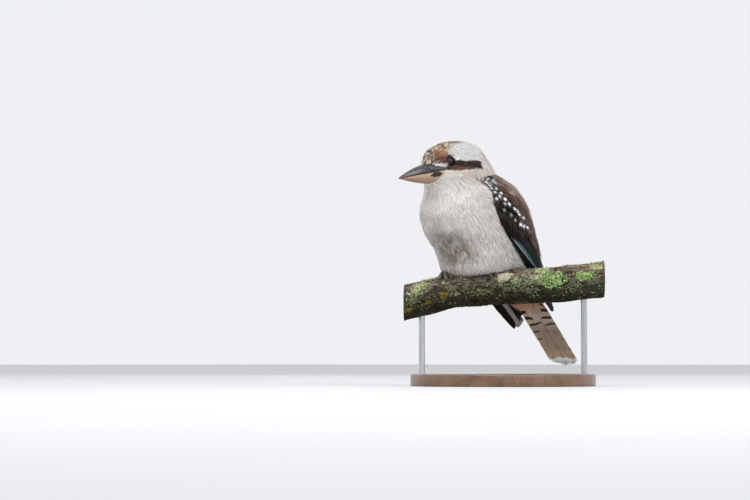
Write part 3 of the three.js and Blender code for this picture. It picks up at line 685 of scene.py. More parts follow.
def spike_parts(root, heading, normal, length, wide, bend):
    """Closed soft barbs with three sides: points (n, 7, 3)."""
    side = unit(np.cross(heading, normal))
    up = np.cross(side, heading)
    w = wide[:, None]
    half_way = root + heading * (length * 0.55)[:, None] + up * (bend * 0.35)[:, None]
    return np.stack([
        root - side * w, root + up * w * 0.5, root + side * w,
        half_way - side * w * 0.7, half_way + up * w * 0.4, half_way + side * w * 0.7,
        root + heading * length[:, None] + up * bend[:, None],
    ], 1)


def barb_parts(middle, heading, side, up, width, length, soft, barbs, fine):
    """Barbs that fray the edges and the tips of blades. Gives points, and place along and across."""
    count, stations = middle.shape[:2]
    sense = np.tile(np.where(np.arange(barbs) % 2, 1.0, -1.0), (count, 1))
    step = (np.arange(barbs) // 2 + 0.5) / (barbs / 2)
    at = np.tile(0.52 + 0.48 * step ** 0.7, (count, 1)) + 0.05 * (rng.random((count, barbs)) - 0.5)
    at = np.clip(at, 0, 1)
    reach_out = np.where(at > 0.93, 0.35 + 0.3 * rng.random(at.shape), 0.9)
    sense = sense * reach_out
    k = at * (stations - 1)
    k0 = np.minimum(k.astype(int), stations - 2)
    f = (k - k0)[..., None]
    pick = np.arange(count)[:, None]
    centre = middle[pick, k0] * (1 - f) + middle[pick, k0 + 1] * f
    forward = heading[pick, k0]
    sideways = side[pick, k0]
    upward = up[pick, k0]
    wide_here = width[pick, k0] * (1 - f[..., 0]) + width[pick, k0 + 1] * f[..., 0]
    base = centre + sideways * (sense * wide_here * 0.8)[..., None] - upward * (wide_here * 0.14)[..., None]
    splay = sense * (0.16 + 0.30 * rng.random(sense.shape))
    tilt = 0.05 * (rng.random(sense.shape) - 0.55)
    direction = unit(forward + sideways * splay[..., None] + upward * tilt[..., None])
    reach = (length[:, None] * 0.32 + 0.6) * (0.6 + 0.7 * rng.random(sense.shape))
    wide = np.clip(width.max(1)[:, None] * 0.085, 0.09, fine) * (0.8 + 0.5 * rng.random(sense.shape))
    bend = reach * soft[:, None] * 0.10 * (rng.random(sense.shape) - 0.55)
    points = spike_parts(
        base.reshape(-1, 3), direction.reshape(-1, 3), upward.reshape(-1, 3), reach.ravel(), wide.ravel(),
        bend.ravel())
    return points, at, sense


# How high the body's feathers rise to lie over a wing's edge, and from how far off, in millimetres.
EDGE_LIFT = 6.0
EDGE_REACH = 8.0


def body_feathers(t, turn):
    """Middles, directions and sizes of the body's feathers rooted at (t, turn)."""
    count = len(t)
    stations = 5
    root = body_point(t, turn)
    shrink = face_share(root)
    length = look_up(FEATHER_KEYS, t, 2) * shrink * (1 + 0.2 * (rng.random(count) - 0.5))
    half = look_up(FEATHER_KEYS, t, 3) * shrink * (1 + 0.2 * (rng.random(count) - 0.5))
    rise = look_up(FEATHER_KEYS, t, 4) * (0.75 + 0.5 * rng.random(count))
    normal, run, round_ = body_frame(t, turn)
    per_t = np.linalg.norm(run, axis=-1)
    per_turn = np.maximum(np.linalg.norm(round_, axis=-1), 4.0)
    # The lie swings a little from feather to feather, and more from tuft to tuft.
    swing = (rng.random(count) - 0.5) * 0.16 + 0.45 * (noise3(root, 14, 77) - 0.5)
    s = np.linspace(0, 1, stations)
    dt = (length * np.cos(swing) / np.maximum(per_t, 1.5))[:, None] * s
    dturn = (length * np.sin(swing) / per_turn)[:, None] * s
    sink = ROOT_SINK * np.minimum(1.0, look_up(FEATHER_KEYS, t, 2) / 9)
    lift = sink[:, None] + (rise - sink)[:, None] * s ** 0.85
    at_t = t[:, None] + dt
    over = np.maximum(at_t - BODY_END, 0)
    flat = body_point(np.minimum(at_t, BODY_END), turn[:, None] + dturn)
    lift = lift + EDGE_LIFT * s * np.exp(-(wing_edge_gap(flat) / EDGE_REACH) ** 2)
    middle = body_point(np.minimum(at_t, BODY_END), turn[:, None] + dturn, lift)
    middle = middle + unit(run)[:, None, :] * (over * per_t[:, None])[..., None]
    heading = unit(np.gradient(middle, axis=1))
    side = unit(np.cross(normal[:, None, :], heading))
    up = np.cross(heading, side)
    width = half[:, None] * np.array([0.5, 0.88, 0.94, 0.70, 0.18])
    thick = np.clip(half[:, None] * 0.07, 0.10, 0.24) * np.array([1, 1, 0.9, 0.75, 0.4])
    return middle, heading, side, up, width, thick, length, np.minimum(at_t, BODY_END)


def coat_object(name, t, turn, material):
    middle, heading, side, up, width, thick, length, at_t = body_feathers(t, turn)
    count, stations = middle.shape[:2]
    barbs = 8 if t.mean() < 7 else 10
    blades = blade_points(middle, side, up, width, thick, 0.13, 3)
    spikes, at, sense = barb_parts(
        middle, heading, side, up, width, length, look_up(FEATHER_KEYS, t, 5), barbs, 0.17)
    own = 1 + 0.07 * (rng.random(count) - 0.5)
    tip_colour = plumage(middle[:, 3], at_t[:, 3]) * own[:, None]
    # Painted shade: each feather darkens towards its root, where the next one overlaps it, and on its
    # underside.
    root_painted_shade = np.array([0.94, 0.97, 0.99, 1.0, 1.01])[None, :, None, None]
    underside_painted_shade = np.array([1.0, 0.98, 1.0, 0.94])[None, None, :, None]
    blade_tint = tip_colour[:, None, None, :] * root_painted_shade * underside_painted_shade
    barb_shade = 0.96 + 0.09 * rng.random((count, barbs))
    spike_tint = np.repeat((tip_colour[:, None] * barb_shade[..., None]).reshape(-1, 1, 3), BARB_POINTS, 1)
    patch = np.stack([np.mod(turn, TAU) / TAU, t / (BODY_END + 0.4)], -1)
    across, _ = ring_places(3)
    along = np.linspace(-1, 1, stations)
    own_place = np.stack(np.broadcast_arrays(across[None], along[:, None]), -1)
    blade_uv = patch[:, None, None] + BAKE_PATCH * own_place
    spike_uv = patch[:, None] + BAKE_PATCH * np.stack([sense * 0.7, at * 2 - 1], -1)
    spike_uv = spike_uv.reshape(-1, 1, 2) + BARB_SPREAD * BAKE_PATCH * 0.3
    points = clear_perch(joined(3, blades, spikes), COAT_ROOM)
    faces = feather_faces(blades, barbs)
    obj = make_object(name, points, faces, joined(3, blade_tint, spike_tint), joined(2, blade_uv, spike_uv))
    return dress(obj, material)


# The most feathers in one piece, and the places about the eye that have none, in millimetres: how far they
# reach from its front and from its axis, before and behind it.
COAT_LIMIT = 1400
EYE_REACH = 14
BARE_BEFORE = 8.4
BARE_BEHIND = 6.2


def build_coat():
    """The body's feathers, from the bill's root to the rump."""
    t, turn = scatter(
        body_point, (0.02, BODY_END - 0.3), (0.0, TAU),
        lambda at, round_, p: look_up(FEATHER_KEYS, at, 1) * face_share(p))
    root = body_point(t, turn)
    gap = one_side(root) - EYE_PLACE
    off = np.linalg.norm(gap - (gap @ EYE_AXIS)[:, None] * EYE_AXIS, axis=1)
    bare = np.where(gap[:, 1] < 0, BARE_BEFORE, BARE_BEHIND)
    near_eye = (np.linalg.norm(gap, axis=1) < EYE_REACH) & (off < bare)
    keep = ~(near_eye | on_bill(root) | under_wing(root))
    t, turn = t[keep], np.mod(turn[keep], TAU)
    order = np.argsort(t)
    t, turn = t[order], turn[order]
    pieces = math.ceil(len(t) / COAT_LIMIT)
    for number in range(pieces):
        chosen = slice(number * len(t) // pieces, (number + 1) * len(t) // pieces)
        coat_object(f"coat_{number + 1:02d}", t[chosen], turn[chosen], plume_soft)
    print("coat feathers", len(t), "in", pieces, "pieces")


# Materials.


def new_material(name, roughness=0.6):
    material = bpy.data.materials.new(name)
    material.use_nodes = True
    tree = material.node_tree
    shader = tree.nodes["Principled BSDF"]
    shader.inputs["Roughness"].default_value = roughness
    return material, tree, shader


def add_node(tree, kind, **settings):
    node = tree.nodes.new(kind)
    for key, value in settings.items():
        if key in node.inputs:
            node.inputs[key].default_value = value
        else:
            setattr(node, key, value)
    return node


def noise_node(tree, scale, detail=4.0, roughness=0.55, stretch=None):
    coords = tree.nodes.new("ShaderNodeTexCoord")
    source = coords.outputs["Object"]
    if stretch is not None:
        mapping = tree.nodes.new("ShaderNodeMapping")
        mapping.inputs["Scale"].default_value = stretch
        tree.links.new(source, mapping.inputs["Vector"])
        source = mapping.outputs["Vector"]
    node = tree.nodes.new("ShaderNodeTexNoise")
    node.inputs["Scale"].default_value = scale
    node.inputs["Detail"].default_value = detail
    node.inputs["Roughness"].default_value = roughness
    tree.links.new(source, node.inputs["Vector"])
    return node.outputs["Fac"]


def ramp(tree, source, stops):
    node = tree.nodes.new("ShaderNodeValToRGB")
    while len(node.color_ramp.elements) < len(stops):
        node.color_ramp.elements.new(0.5)
    for element, (at, colour) in zip(node.color_ramp.elements, stops):
        element.position = at
        element.color = tuple(colour) + (1.0,) if len(colour) == 3 else colour
    tree.links.new(source, node.inputs["Fac"])
    return node.outputs["Color"]


def blend_colours(tree, a, b, factor, kind="MIX"):
    node = tree.nodes.new("ShaderNodeMix")
    node.data_type = "RGBA"
    node.blend_type = kind
    for socket, value in ((node.inputs[0], factor), (node.inputs[6], a), (node.inputs[7], b)):
        if isinstance(value, bpy.types.NodeSocket):
            tree.links.new(value, socket)
        elif isinstance(value, (int, float)):
            socket.default_value = value
        else:
            socket.default_value = tuple(value) + (1.0,)
    return node.outputs[2]


def grey_ramp(tree, source, *stops):
    return ramp(tree, source, [(at, (level,) * 3) for at, level in stops])


def own_tint(tree, grain, *stops):
    """The piece's own tint, a little darker where the grain is low."""
    tint = add_node(tree, "ShaderNodeAttribute", attribute_name="tint")
    return blend_colours(tree, tint.outputs["Color"], grey_ramp(tree, grain, *stops), 1.0, "MULTIPLY")


def set_sockets(shader, values):
    for name, value in values.items():
        shader.inputs[name].default_value = value


def link_looks(tree, shader, colour, grain=None, *rough_stops):
    """Links a colour to a shader, and a roughness that follows the grain."""
    tree.links.new(colour, shader.inputs["Base Color"])
    if rough_stops:
        tree.links.new(grey_ramp(tree, grain, *rough_stops), shader.inputs["Roughness"])


def bump(tree, shader, source, strength, distance):
    node = tree.nodes.new("ShaderNodeBump")
    node.inputs["Strength"].default_value = strength
    node.inputs["Distance"].default_value = distance
    tree.links.new(source, node.inputs["Height"])
    tree.links.new(node.outputs["Normal"], shader.inputs["Normal"])
    return node


def tint_material(name, roughness, grain, vary, sheen=0.0, bump_strength=0.25, specular=0.5):
    """A material that takes its colour from the piece's own tint, broken up by fine grain."""
    material, tree, shader = new_material(name, roughness)
    grain_out = noise_node(tree, grain, 3.0)
    colour = own_tint(tree, grain_out, (0.3, 1 - vary), (0.7, 1.0))
    link_looks(tree, shader, colour, grain_out, (0.2, roughness - 0.08), (0.8, min(1, roughness + 0.08)))
    set_sockets(shader, {"Specular IOR Level": specular, "Sheen Weight": sheen, "Sheen Roughness": 0.5})
    bump(tree, shader, grain_out, bump_strength, 0.0004)
    return material


plume_soft = tint_material("plume_soft", 0.85, 900.0, 0.12, sheen=0.05, specular=0.15)
skin_material = tint_material("skin_under_feathers", 0.9, 700.0, 0.25, specular=0.1)

# The skin: one piece for head, neck and torso.

SIDES = {1: "left", -1: "right"}
# The skin is drawn in round the eyeball within this radius, and stays this far off the bark, in millimetres.
# It is darker than its feathers: painted shade under the coat.
SOCKET_RADIUS = 7.6
SKIN_ROOM = 0.35
SKIN_PAINTED_SHADE = 0.72


def eye_frame(side):
    """The eyeball's centre, the way that the eye looks, and the directions across and up."""
    mirror = (side, 1, 1)
    axis = EYE_AXIS * mirror
    across = unit(np.cross(np.array([0.0, 0.0, 1.0]), axis))
    return (EYE_PLACE - EYE_AXIS * EYE_DEPTH) * mirror, axis, across, np.cross(axis, across)


def build_skin():
    rows, columns = 230, 150
    t = np.linspace(0, BODY_END, rows)
    turn = np.linspace(0, TAU, columns, endpoint=False)
    t_grid = np.broadcast_to(t[:, None], (rows, columns))
    turn_grid = np.broadcast_to(turn[None, :], (rows, columns))
    depth = -SKIN_DEPTH * smooth(0.0, 3.0, t_grid) - 0.6
    rings = body_point(t_grid, turn_grid, depth)
    for side in SIDES:
        centre, axis, _, _ = eye_frame(side)
        away = rings - centre
        ahead = away @ axis
        sideways = away - ahead[..., None] * axis
        off = np.linalg.norm(sideways, axis=-1)
        target = centre + sideways - axis * 1.0
        share = smooth(SOCKET_RADIUS, 6.0, off) * ((off < SOCKET_RADIUS) & (ahead > 0))
        rings = rings * (1 - share[..., None]) + target * share[..., None]
    rings = clear_perch(rings, SKIN_ROOM)
    points, faces = capped_loft(rings)
    # Painted shade: the skin seen between the feathers is darkened.
    tint = plumage(points, np.concatenate([t_grid.ravel(), [0, BODY_END]])) * SKIN_PAINTED_SHADE
    uv = np.stack([turn_grid / TAU, t_grid / (BODY_END + 0.4)], -1).reshape(-1, 2)
    uv = np.concatenate([uv, [(0.5, 0.0), (0.5, 0.979)]])
    obj = make_object("skin", points, faces, tint, uv)
    return dress(obj, skin_material, ("head", "neck", "torso"))


# Bill: y, top, mouth, low and half width of its stations, widest at the gape.

BILL = np.array([
    (-62, 288, 277.4, 262, 21.4),
    (-68, 287.4, 275.9, 260.4, 18.4),
    (-75, 286.2, 274.1, 258.6, 15.6),
    (-87, 282.2, 271.6, 258.4, 12.6),
    (-100, 278.0, 268.8, 258.8, 9.8),
    (-112, 273.2, 266.2, 259.6, 6.9),
    (-122, 268.5, 264.1, 260.6, 4.2),
    (-129, 264.8, 262.6, 261.4, 1.9),
    (-132.6, 262.6, 261.8, 261.5, 0.5),
], float).T
# Half the gap between the two halves, in millimetres.
SEAM = 0.15
NOSTRIL = np.array([10.9, -87.0, 277.2])
NOSTRIL_TILT = math.radians(16)
BILL_SLATE = (0.050, 0.049, 0.054)
BILL_SLATE_PALE = (0.135, 0.134, 0.148)
BILL_PAINTED_HIGHLIGHT = (0.27, 0.27, 0.28)
BILL_RIDGE = (0.030, 0.029, 0.032)
BILL_MOUTH_LINE_SHADE = (0.016, 0.012, 0.012)
BILL_ROOT = (0.030, 0.028, 0.031)
BILL_TIP = (0.13, 0.055, 0.050)
BILL_WORN = (0.30, 0.25, 0.21)
BILL_HORN = (0.40, 0.285, 0.185)
BILL_HORN_PALE = (0.54, 0.405, 0.265)
BILL_LOW_SHADE = (0.24, 0.155, 0.105)
BILL_UNDER = (0.30, 0.12, 0.11)
BILL_WORN_LOW = (0.45, 0.28, 0.22)
BILL_TIP_LOW = (0.12, 0.055, 0.05)
BILL_LOW_MOUTH_LINE_SHADE = (0.10, 0.06, 0.045)
# The feathers end along these lines on the bill: y, upper line, lower line.
BILL_BORDER = np.array([
    (-86, 288.0, 255.5),
    (-83, 285.4, 259.0),
    (-80, 282.2, 262.9),
    (-77, 279.8, 266.8),
    (-73, 277.9, 270.4),
    (-69, 277.1, 273.4),
    (-65, 276.9, 275.4),
    (-62, 276.7, 276.2),
]).T


def on_bill(p):
    """Points of the head where the bill is bare."""
    y = p[..., 1]
    top = look_up(BILL_BORDER, y)
    low = look_up(BILL_BORDER, y, 2)
    return (y < -62) & (p[..., 2] < top) & (p[..., 2] > low) & (np.abs(p[..., 0]) > 4)


def bill_rings(upper):
    """Rings of half a bill, from its root to its tip."""
    steps, around = 260, 72
    t = np.linspace(0, BILL.shape[1] - 1, steps)
    y, top, mouth, low, wide = (through(k, t)[:, None] for k in BILL)
    q = np.linspace(0, math.pi, around)[None, :]
    # The cutting edges wave a little along the bill.
    wave = 0.35 * np.sin((y + 62) * 0.085) * smooth(-132, -118, y)
    seam = mouth + wave + (SEAM if upper else -SEAM)
    reach = (top - seam) if upper else (seam - low)
    # A keel runs along the top, and a faint groove along each side.
    ridge = 1 + (0.05 * np.exp(-((q - math.pi / 2) / 0.22) ** 2) if upper else 0)
    groove = 0.35 * (np.exp(-((q - 0.62) / 0.10) ** 2) + np.exp(-((math.pi - q - 0.62) / 0.10) ** 2))
    x = wide * np.cos(q) * (1 if upper else 0.97)
    x = x - np.sign(x) * groove * smooth(-124, -105, y)
    z = reach * np.sin(q) ** (0.9 if upper else 0.8) * ridge
    height = seam + z if upper else seam - z
    rings = np.stack([x, np.broadcast_to(y, x.shape), height], -1)
    # Nostrils are slits that lie back and up near the root.
    if upper:
        cos, sin = math.cos(NOSTRIL_TILT), math.sin(NOSTRIL_TILT)
        for side in SIDES:
            away = rings - NOSTRIL * (side, 1, 1)
            run = away[..., 1] * cos - away[..., 2] * sin
            rise = away[..., 1] * sin + away[..., 2] * cos
            rings[..., 0] -= side * 1.7 * oval(((run, 3.1), (rise, 0.95), (away[..., 0], 5)))
    return rings


def bill_colours(points, upper):
    height = points[:, 2]
    # From 0 at the root to 1 at the tip, and from 0 at the mouth to 1 at the top.
    span = np.abs(points[:, 1] + 62) / 70
    mouth = np.interp(-points[:, 1], -BILL[0], BILL[2])
    top = np.interp(-points[:, 1], -BILL[0], BILL[1])
    share = (height - mouth) / np.maximum(top - mouth, 0.5)
    grain = layered(points, (3, 9, 2), 51)
    scratch = noise3(points, (1.2, 10, 0.8), 53)
    if not upper:
        return paint(
            BILL_HORN,
            (BILL_HORN_PALE, grain),
            # Painted shade: the lower bill darkens towards its underside.
            (BILL_LOW_SHADE, smooth(12.0, 3.0, height - 257.0) * 0.60),
            (BILL_UNDER, smooth(5.0, 0.5, height - 258.2) * smooth(0.35, 0.60, span) * 0.8),
            (BILL_WORN_LOW, smooth(0.55, 0.8, scratch) * 0.35),
            (GAPE_DARK, gape_patch(points)),
            (BILL_TIP_LOW, smooth(0.90, 1.0, span) * 0.85),
            # Painted shade along the mouth line.
            (BILL_LOW_MOUTH_LINE_SHADE, smooth(0.9, 0.1, mouth - height) * 0.8),
        )
    # Painted highlight: a pale band along the upper bill's side, towards its front.
    sheen = np.exp(-((share - 0.55) / 0.22) ** 2) * smooth(0.40, 0.62, span) * smooth(0.98, 0.8, span)
    colour = paint(BILL_SLATE, (BILL_SLATE_PALE, smooth(0.35, 0.75, grain)), (BILL_PAINTED_HIGHLIGHT, 0.60 * sheen))
    return paint(
        colour * lerp(0.62, 1.0, smooth(0.25, 0.60, span))[:, None],
        (BILL_RIDGE, smooth(0.58, 0.85, share) * smooth(0.85, 0.6, span) * 0.75),
        # Painted shade along the mouth line.
        (BILL_MOUTH_LINE_SHADE, smooth(0.26, 0.12, share) * 0.92),
        (BILL_ROOT, smooth(0.30, 0.05, span) * 0.7),
        (BILL_TIP, smooth(0.84, 0.97, span) * 0.75),
        (BILL_WORN, smooth(0.62, 0.8, scratch) * 0.12),
    )


def build_bill(upper):
    points, faces = capped_loft(bill_rings(upper))
    half, look = ("upper", "bill_dark") if upper else ("lower", "bill_horn")
    name = f"bill_{half}_horn"
    obj = make_object(name, points, faces, bill_colours(points, upper))
    material = tint_material(name, 0.40 if upper else 0.46, 260.0, 0.22, bump_strength=0.12)
    shader = material.node_tree.nodes["Principled BSDF"]
    set_sockets(shader, {"Coat Weight": 0.05, "Specular IOR Level": 0.30})
    return dress(obj, material, (f"bill_{half}",))


# Eyes and lids.


def eye_material():
    material, tree, shader = new_material("eye_dark", 0.04)
    link_looks(tree, shader, own_tint(tree, noise_node(tree, 1800.0, 2.0), (0.35, 0.7), (0.65, 1.0)))
    set_sockets(shader, {"Specular IOR Level": 0.2, "Coat Weight": 0.6, "Coat Roughness": 0.02})
    return material


def build_eye(side, material):
    centre, axis, across, up = eye_frame(side)
    rows, columns = 48, 64
    polar = np.linspace(0.012, math.pi - 0.012, rows)[:, None]
    turn = np.linspace(0, TAU, columns, endpoint=False)[None, :]
    ball = (
        np.cos(polar)[..., None] * axis
        + (np.sin(polar) * np.cos(turn))[..., None] * across
        + (np.sin(polar) * np.sin(turn))[..., None] * up
    )
    # The clear front bulges a little.
    radius = EYE_RADIUS + 0.45 * np.exp(-(polar / 0.55) ** 2)
    rings = centre + ball * np.broadcast_to(radius, ball.shape[:2])[..., None]
    points, faces = capped_loft(rings)
    off = np.concatenate([np.broadcast_to(np.sin(polar) * EYE_RADIUS, (rows, columns)).ravel(), [0, 0]])
    iris = mix((0.003, 0.003, 0.003), (0.026, 0.013, 0.008), smooth(3.4, 3.8, off))
    iris = mix(iris, (0.004, 0.003, 0.003), smooth(5.0, 5.5, off))
    obj = make_object(f"eye_{SIDES[side]}_glass", points, faces, iris)
    return dress(obj, material, (f"eye_{SIDES[side]}",))


def build_lids(side, material):
    """A ring of bare lid round the eye, fuller above, with fine folds."""
    centre, axis, across, up = eye_frame(side)
    around, section = 96, 14
    q = np.linspace(0, TAU, around, endpoint=False)[:, None]
    r = np.linspace(0, TAU, section, endpoint=False)[None, :]
    tube_radius = 0.65 + 0.20 * np.sin(q) + 0.06 * np.sin(r * 2)
    wide = OPEN_WIDE + 0.5
    high = OPEN_HIGH + 0.4 - 0.25 * np.sin(q)
    ring_x = (wide + tube_radius * np.cos(r)) * np.cos(q)
    ring_y = (high + tube_radius * np.cos(r)) * np.sin(q)
    off = np.hypot(ring_x, ring_y)
    depth = np.sqrt(np.maximum(EYE_RADIUS ** 2 - np.minimum(off, EYE_RADIUS - 0.4) ** 2, 0.2))
    depth = depth + 0.25 + tube_radius * np.sin(r) * 0.9 + 0.12 * np.sin(q * 24)
    rings = centre + depth[..., None] * axis + ring_x[..., None] * across + ring_y[..., None] * up
    j = np.arange(section)
    last = (around - 1) * section
    closing = np.stack([last + j, last + (j + 1) % section, (j + 1) % section, j], -1)
    tint = mix((0.022, 0.017, 0.015), (0.055, 0.043, 0.038), noise3(rings.reshape(-1, 3), 1.2, 4))
    obj = make_object(f"eyelid_{SIDES[side]}", rings, [grid_faces(around, section), closing], tint)
    return dress(obj, material)


# Wings.

# Stations from the shoulder to the tip: front edge, middle and back edge.
WING = [
    ((31, -23, 266), (42, 6, 271), (18, 31, 278)),
    ((47, -14, 248), (59, 25, 255), (13, 53, 266)),
    ((56, -7, 226), (67, 40, 234), (10, 73, 245)),
    ((59, 4, 204), (67, 53, 210), (8, 87, 222)),
    ((58, 22, 182), (64, 67, 187), (7, 98, 200)),
    ((55, 45, 162), (59, 82, 166), (7, 109, 179)),
    ((51, 67, 144), (54, 98, 148), (9, 121, 161)),
    ((48, 90, 122), (49, 116, 127), (15, 134, 141)),
    ((46, 114, 100), (46, 134, 106), (22, 147, 120)),
    ((43, 134, 84), (43, 148, 89), (28, 158, 101)),
    ((40, 145, 75), (39, 152, 79), (32, 160, 89)),
]
WING_KEYS = np.array(WING, float)
# The left wing's end is tucked beside the tail: how far its tip moves, from which share of the wing on and
# how suddenly, and how much flatter its arch is there. Lengths are in millimetres.
TUCK = np.array([-14.0, 5.0, 22.0])
TUCK_FROM = 0.45
TUCK_POWER = 1.6
FLAT_TIP = 6.0


def wing_point(along, across, tucked):
    along, across = np.broadcast_arrays(np.asarray(along, float), across)
    t = np.clip(along, 0, 1) * (len(WING) - 1)
    front, full, back = (
        np.stack([through(WING_KEYS[:, edge, axis], t) for axis in range(3)], -1) for edge in range(3))
    k = across[..., None]
    bow = 2 * full - (front + back) / 2
    p = (1 - k) ** 2 * front + 2 * k * (1 - k) * bow + k * k * back
    f = np.clip((along - TUCK_FROM) / (1 - TUCK_FROM), 0, 1)
    return p + tucked * TUCK * (f ** TUCK_POWER)[..., None]


def wing_normal(along, across, tucked):
    e = 0.006
    a = np.clip(along, e, 1 - e)
    k = np.clip(across, e, 1 - e)
    u = wing_point(a + e, k, tucked) - wing_point(a - e, k, tucked)
    v = wing_point(a, k + e, tucked) - wing_point(a, k - e, tucked)
    return unit(np.cross(u, v))


def wing_surface(tucked):
    """The wing's outer face as point(along, across, lift). It runs on straight at both ends."""

    def point(a, k, lift=0.0):
        a, k, lift = np.broadcast_arrays(np.asarray(a, float), k, lift)
        inner = np.clip(a, 0, 1)
        start = (wing_point(0.0, k, tucked) - wing_point(0.05, k, tucked)) / 0.05
        end = (wing_point(1.0, k, tucked) - wing_point(0.95, k, tucked)) / 0.05
        flat = tucked * FLAT_TIP * smooth(0.58, 0.88, a) * np.maximum(4 * k * (1 - k), 0)
        p = wing_point(inner, k, tucked) + wing_normal(inner, k, tucked) * (lift - flat)[..., None]
        return p + start * np.maximum(-a, 0)[..., None] + end * np.maximum(a - 1, 0)[..., None]

    return point


# The line that the body's feathers lie over: each wing's front edge.
EDGE_TREE = tree_of(wing_point(np.linspace(0.09, 0.56, 90), 0.0, True))
# Places all over the wing, to find what it hides within so many millimetres.
COVER_REACH = 17
COVER_AT = np.stack(
    np.meshgrid(np.linspace(0, 0.8, 70), np.linspace(0, 1, 50), indexing="ij"), -1).reshape(-1, 2)
COVER_TREE = tree_of(wing_point(COVER_AT[:, 0], COVER_AT[:, 1], True))


def wing_edge_gap(p):
    """Distance from points on either side of the body to the nearest wing's edge."""
    return np.array([EDGE_TREE.find(q)[2] for q in one_side(p).reshape(-1, 3)]).reshape(p.shape[:-1])


def under_wing(p):
    """Which points of the body lie well under a folded wing, where no feather shows."""
    hidden = np.zeros(len(p), bool)
    for i, q in enumerate(one_side(p)):
        _, j, gap = COVER_TREE.find(q)
        a, k = COVER_AT[j]
        hidden[i] = gap < COVER_REACH and 0.02 < a < 0.62 and (0.11 if a > 0.09 else 0.03) < k < 0.9
    return hidden


def vane_shape(s, blunt, narrow=0.5):
    opened = narrow + (1 - narrow) * np.minimum(1, s / 0.3)
    past = np.clip((s - blunt) / (1 - blunt), 0, 1)
    return opened * np.sqrt(np.maximum(0.0, 1 - past ** 2.2) * 0.985 + 0.015)


def vane_mesh(surface, steps, lateral, half, lift, thick, camber, shade, crowd=1.0):
    """One closed vane. surface(s, w mm, lift) gives points; shade(s, w, under) gives colours.

    steps and lateral are counts of points along and across. A crowd over 1 brings the steps
    closer together towards the tip."""
    s = 1 - (1 - np.linspace(0, 1, steps)[:, None]) ** crowd
    w = np.linspace(-1, 1, lateral)[None, :]
    s, w = np.broadcast_arrays(s, w)
    across = w * half(s, w)
    arch = -camber * w ** 2
    rib = 0.45 * np.exp(-(w / 0.10) ** 2) * (1 - 0.7 * s)
    body = thick * (1 - 0.55 * s) * (1 - 0.8 * w ** 2)
    upper = surface(s, across, lift(s, w) + arch + body / 2 + rib * thick)
    lower = surface(s, across, lift(s, w) + arch - body / 2 - rib * thick)

    def around(top, bottom):
        rings = np.concatenate([top, bottom[:, -2:0:-1]], 1)
        flat = rings.reshape(-1, rings.shape[-1])
        return np.concatenate([flat, flat[:1], flat[-1:]])

    points, faces = capped_loft(np.concatenate([upper, lower[:, -2:0:-1]], 1))
    tint = around(shade(s, w, False), shade(s, w, True))
    place = np.stack([across * 0.01, s], -1)
    top_chart = np.stack([(w + 1) * 0.24, s], -1)
    low_chart = np.stack([0.52 + (1 - w) * 0.23, s], -1)
    return points, faces, tint, around(place, place), around(top_chart, low_chart)


def gather(vanes):
    """Joins vanes, each with a cell of its own on the map."""
    points, faces = join_lofts([vane[:2] for vane in vanes])
    tint, vane_uv = (np.concatenate([vane[field] for vane in vanes]) for field in (2, 3))
    side = math.ceil(math.sqrt(len(vanes)))
    bake = [(np.array([i % side, i // side]) + 0.04 + vane[4] * 0.92) / side for i, vane in enumerate(vanes)]
    return points, faces, tint, vane_uv, np.concatenate(bake)


def vane_material(name, roughness):
    """Feather vanes: own tint, and barbs that run out and forward from the shaft."""
    material, tree, shader = new_material(name, roughness)
    place = add_node(tree, "ShaderNodeUVMap", uv_map="Vane")
    split = tree.nodes.new("ShaderNodeSeparateXYZ")
    tree.links.new(place.outputs["UV"], split.inputs[0])

    def sum_of(operation, *terms):
        node = add_node(tree, "ShaderNodeMath", operation=operation)
        for socket, term in zip(node.inputs, terms):
            if isinstance(term, float):
                socket.default_value = term
            else:
                tree.links.new(term, socket)
        return node.outputs[0]

    slope = sum_of("MULTIPLY", sum_of("ABSOLUTE", split.outputs[0]), 900.0)
    wave = sum_of("SINE", sum_of("SUBTRACT", sum_of("MULTIPLY", split.outputs[1], 420.0), slope))
    patch = noise_node(tree, 240.0, 3.0)
    colour = own_tint(tree, patch, (0.3, 0.84), (0.7, 1.0))
    colour = blend_colours(tree, colour, grey_ramp(tree, wave, (0.0, 0.86), (0.8, 1.0)), 0.7, "MULTIPLY")
    link_looks(tree, shader, colour, patch, (0.2, roughness - 0.06), (0.8, roughness + 0.08))
    set_sockets(shader, {"Specular IOR Level": 0.12})
    bump(tree, shader, wave, 0.12, 0.0002)
    return material


plume_dark = vane_material("plume_dark", 0.6)
plume_tail = vane_material("plume_tail", 0.66)

# Rows of long wing feathers: kind, count, roots (along, across) of the first and the last, their tips,
# half width in millimetres, height over the wing's face at root and tip, bluntness.
WING_ROWS = [
    ("primary", 8, ((0.34, 0.07), (0.38, 0.40)), None, 6.4, (-1.8, -1.0), 0.93),
    ("secondary", 9, ((0.34, 0.20), (0.38, 0.86)), ((0.80, 0.46), (0.64, 0.9)), 6.2, (-1.7, -0.5), 0.8),
    ("edge", 2, ((0.29, 0.0), (0.31, 0.005)), ((0.58, 0.06), (0.60, 0.09)), 1.8, (-1.4, -0.3), 0.86),
    ("blue", 8, ((0.315, 0.012), (0.33, 0.20)), ((0.60, 0.20), (0.60, 0.40)), 2.7, (-1.2, 0.1), 0.86),
    ("tertial", 5, ((0.26, 0.42), (0.26, 0.90)), ((0.47, 0.46), (0.58, 0.9)), 6.6, (-1.4, 0.5), 0.72),
    ("tertial", 5, ((0.20, 0.38), (0.20, 0.92)), ((0.44, 0.50), (0.52, 0.9)), 6.4, (-1.4, 0.9), 0.70),
]
# How far a long feather leans up from its front edge to its middle, in millimetres.
WING_LEAN = 0.5
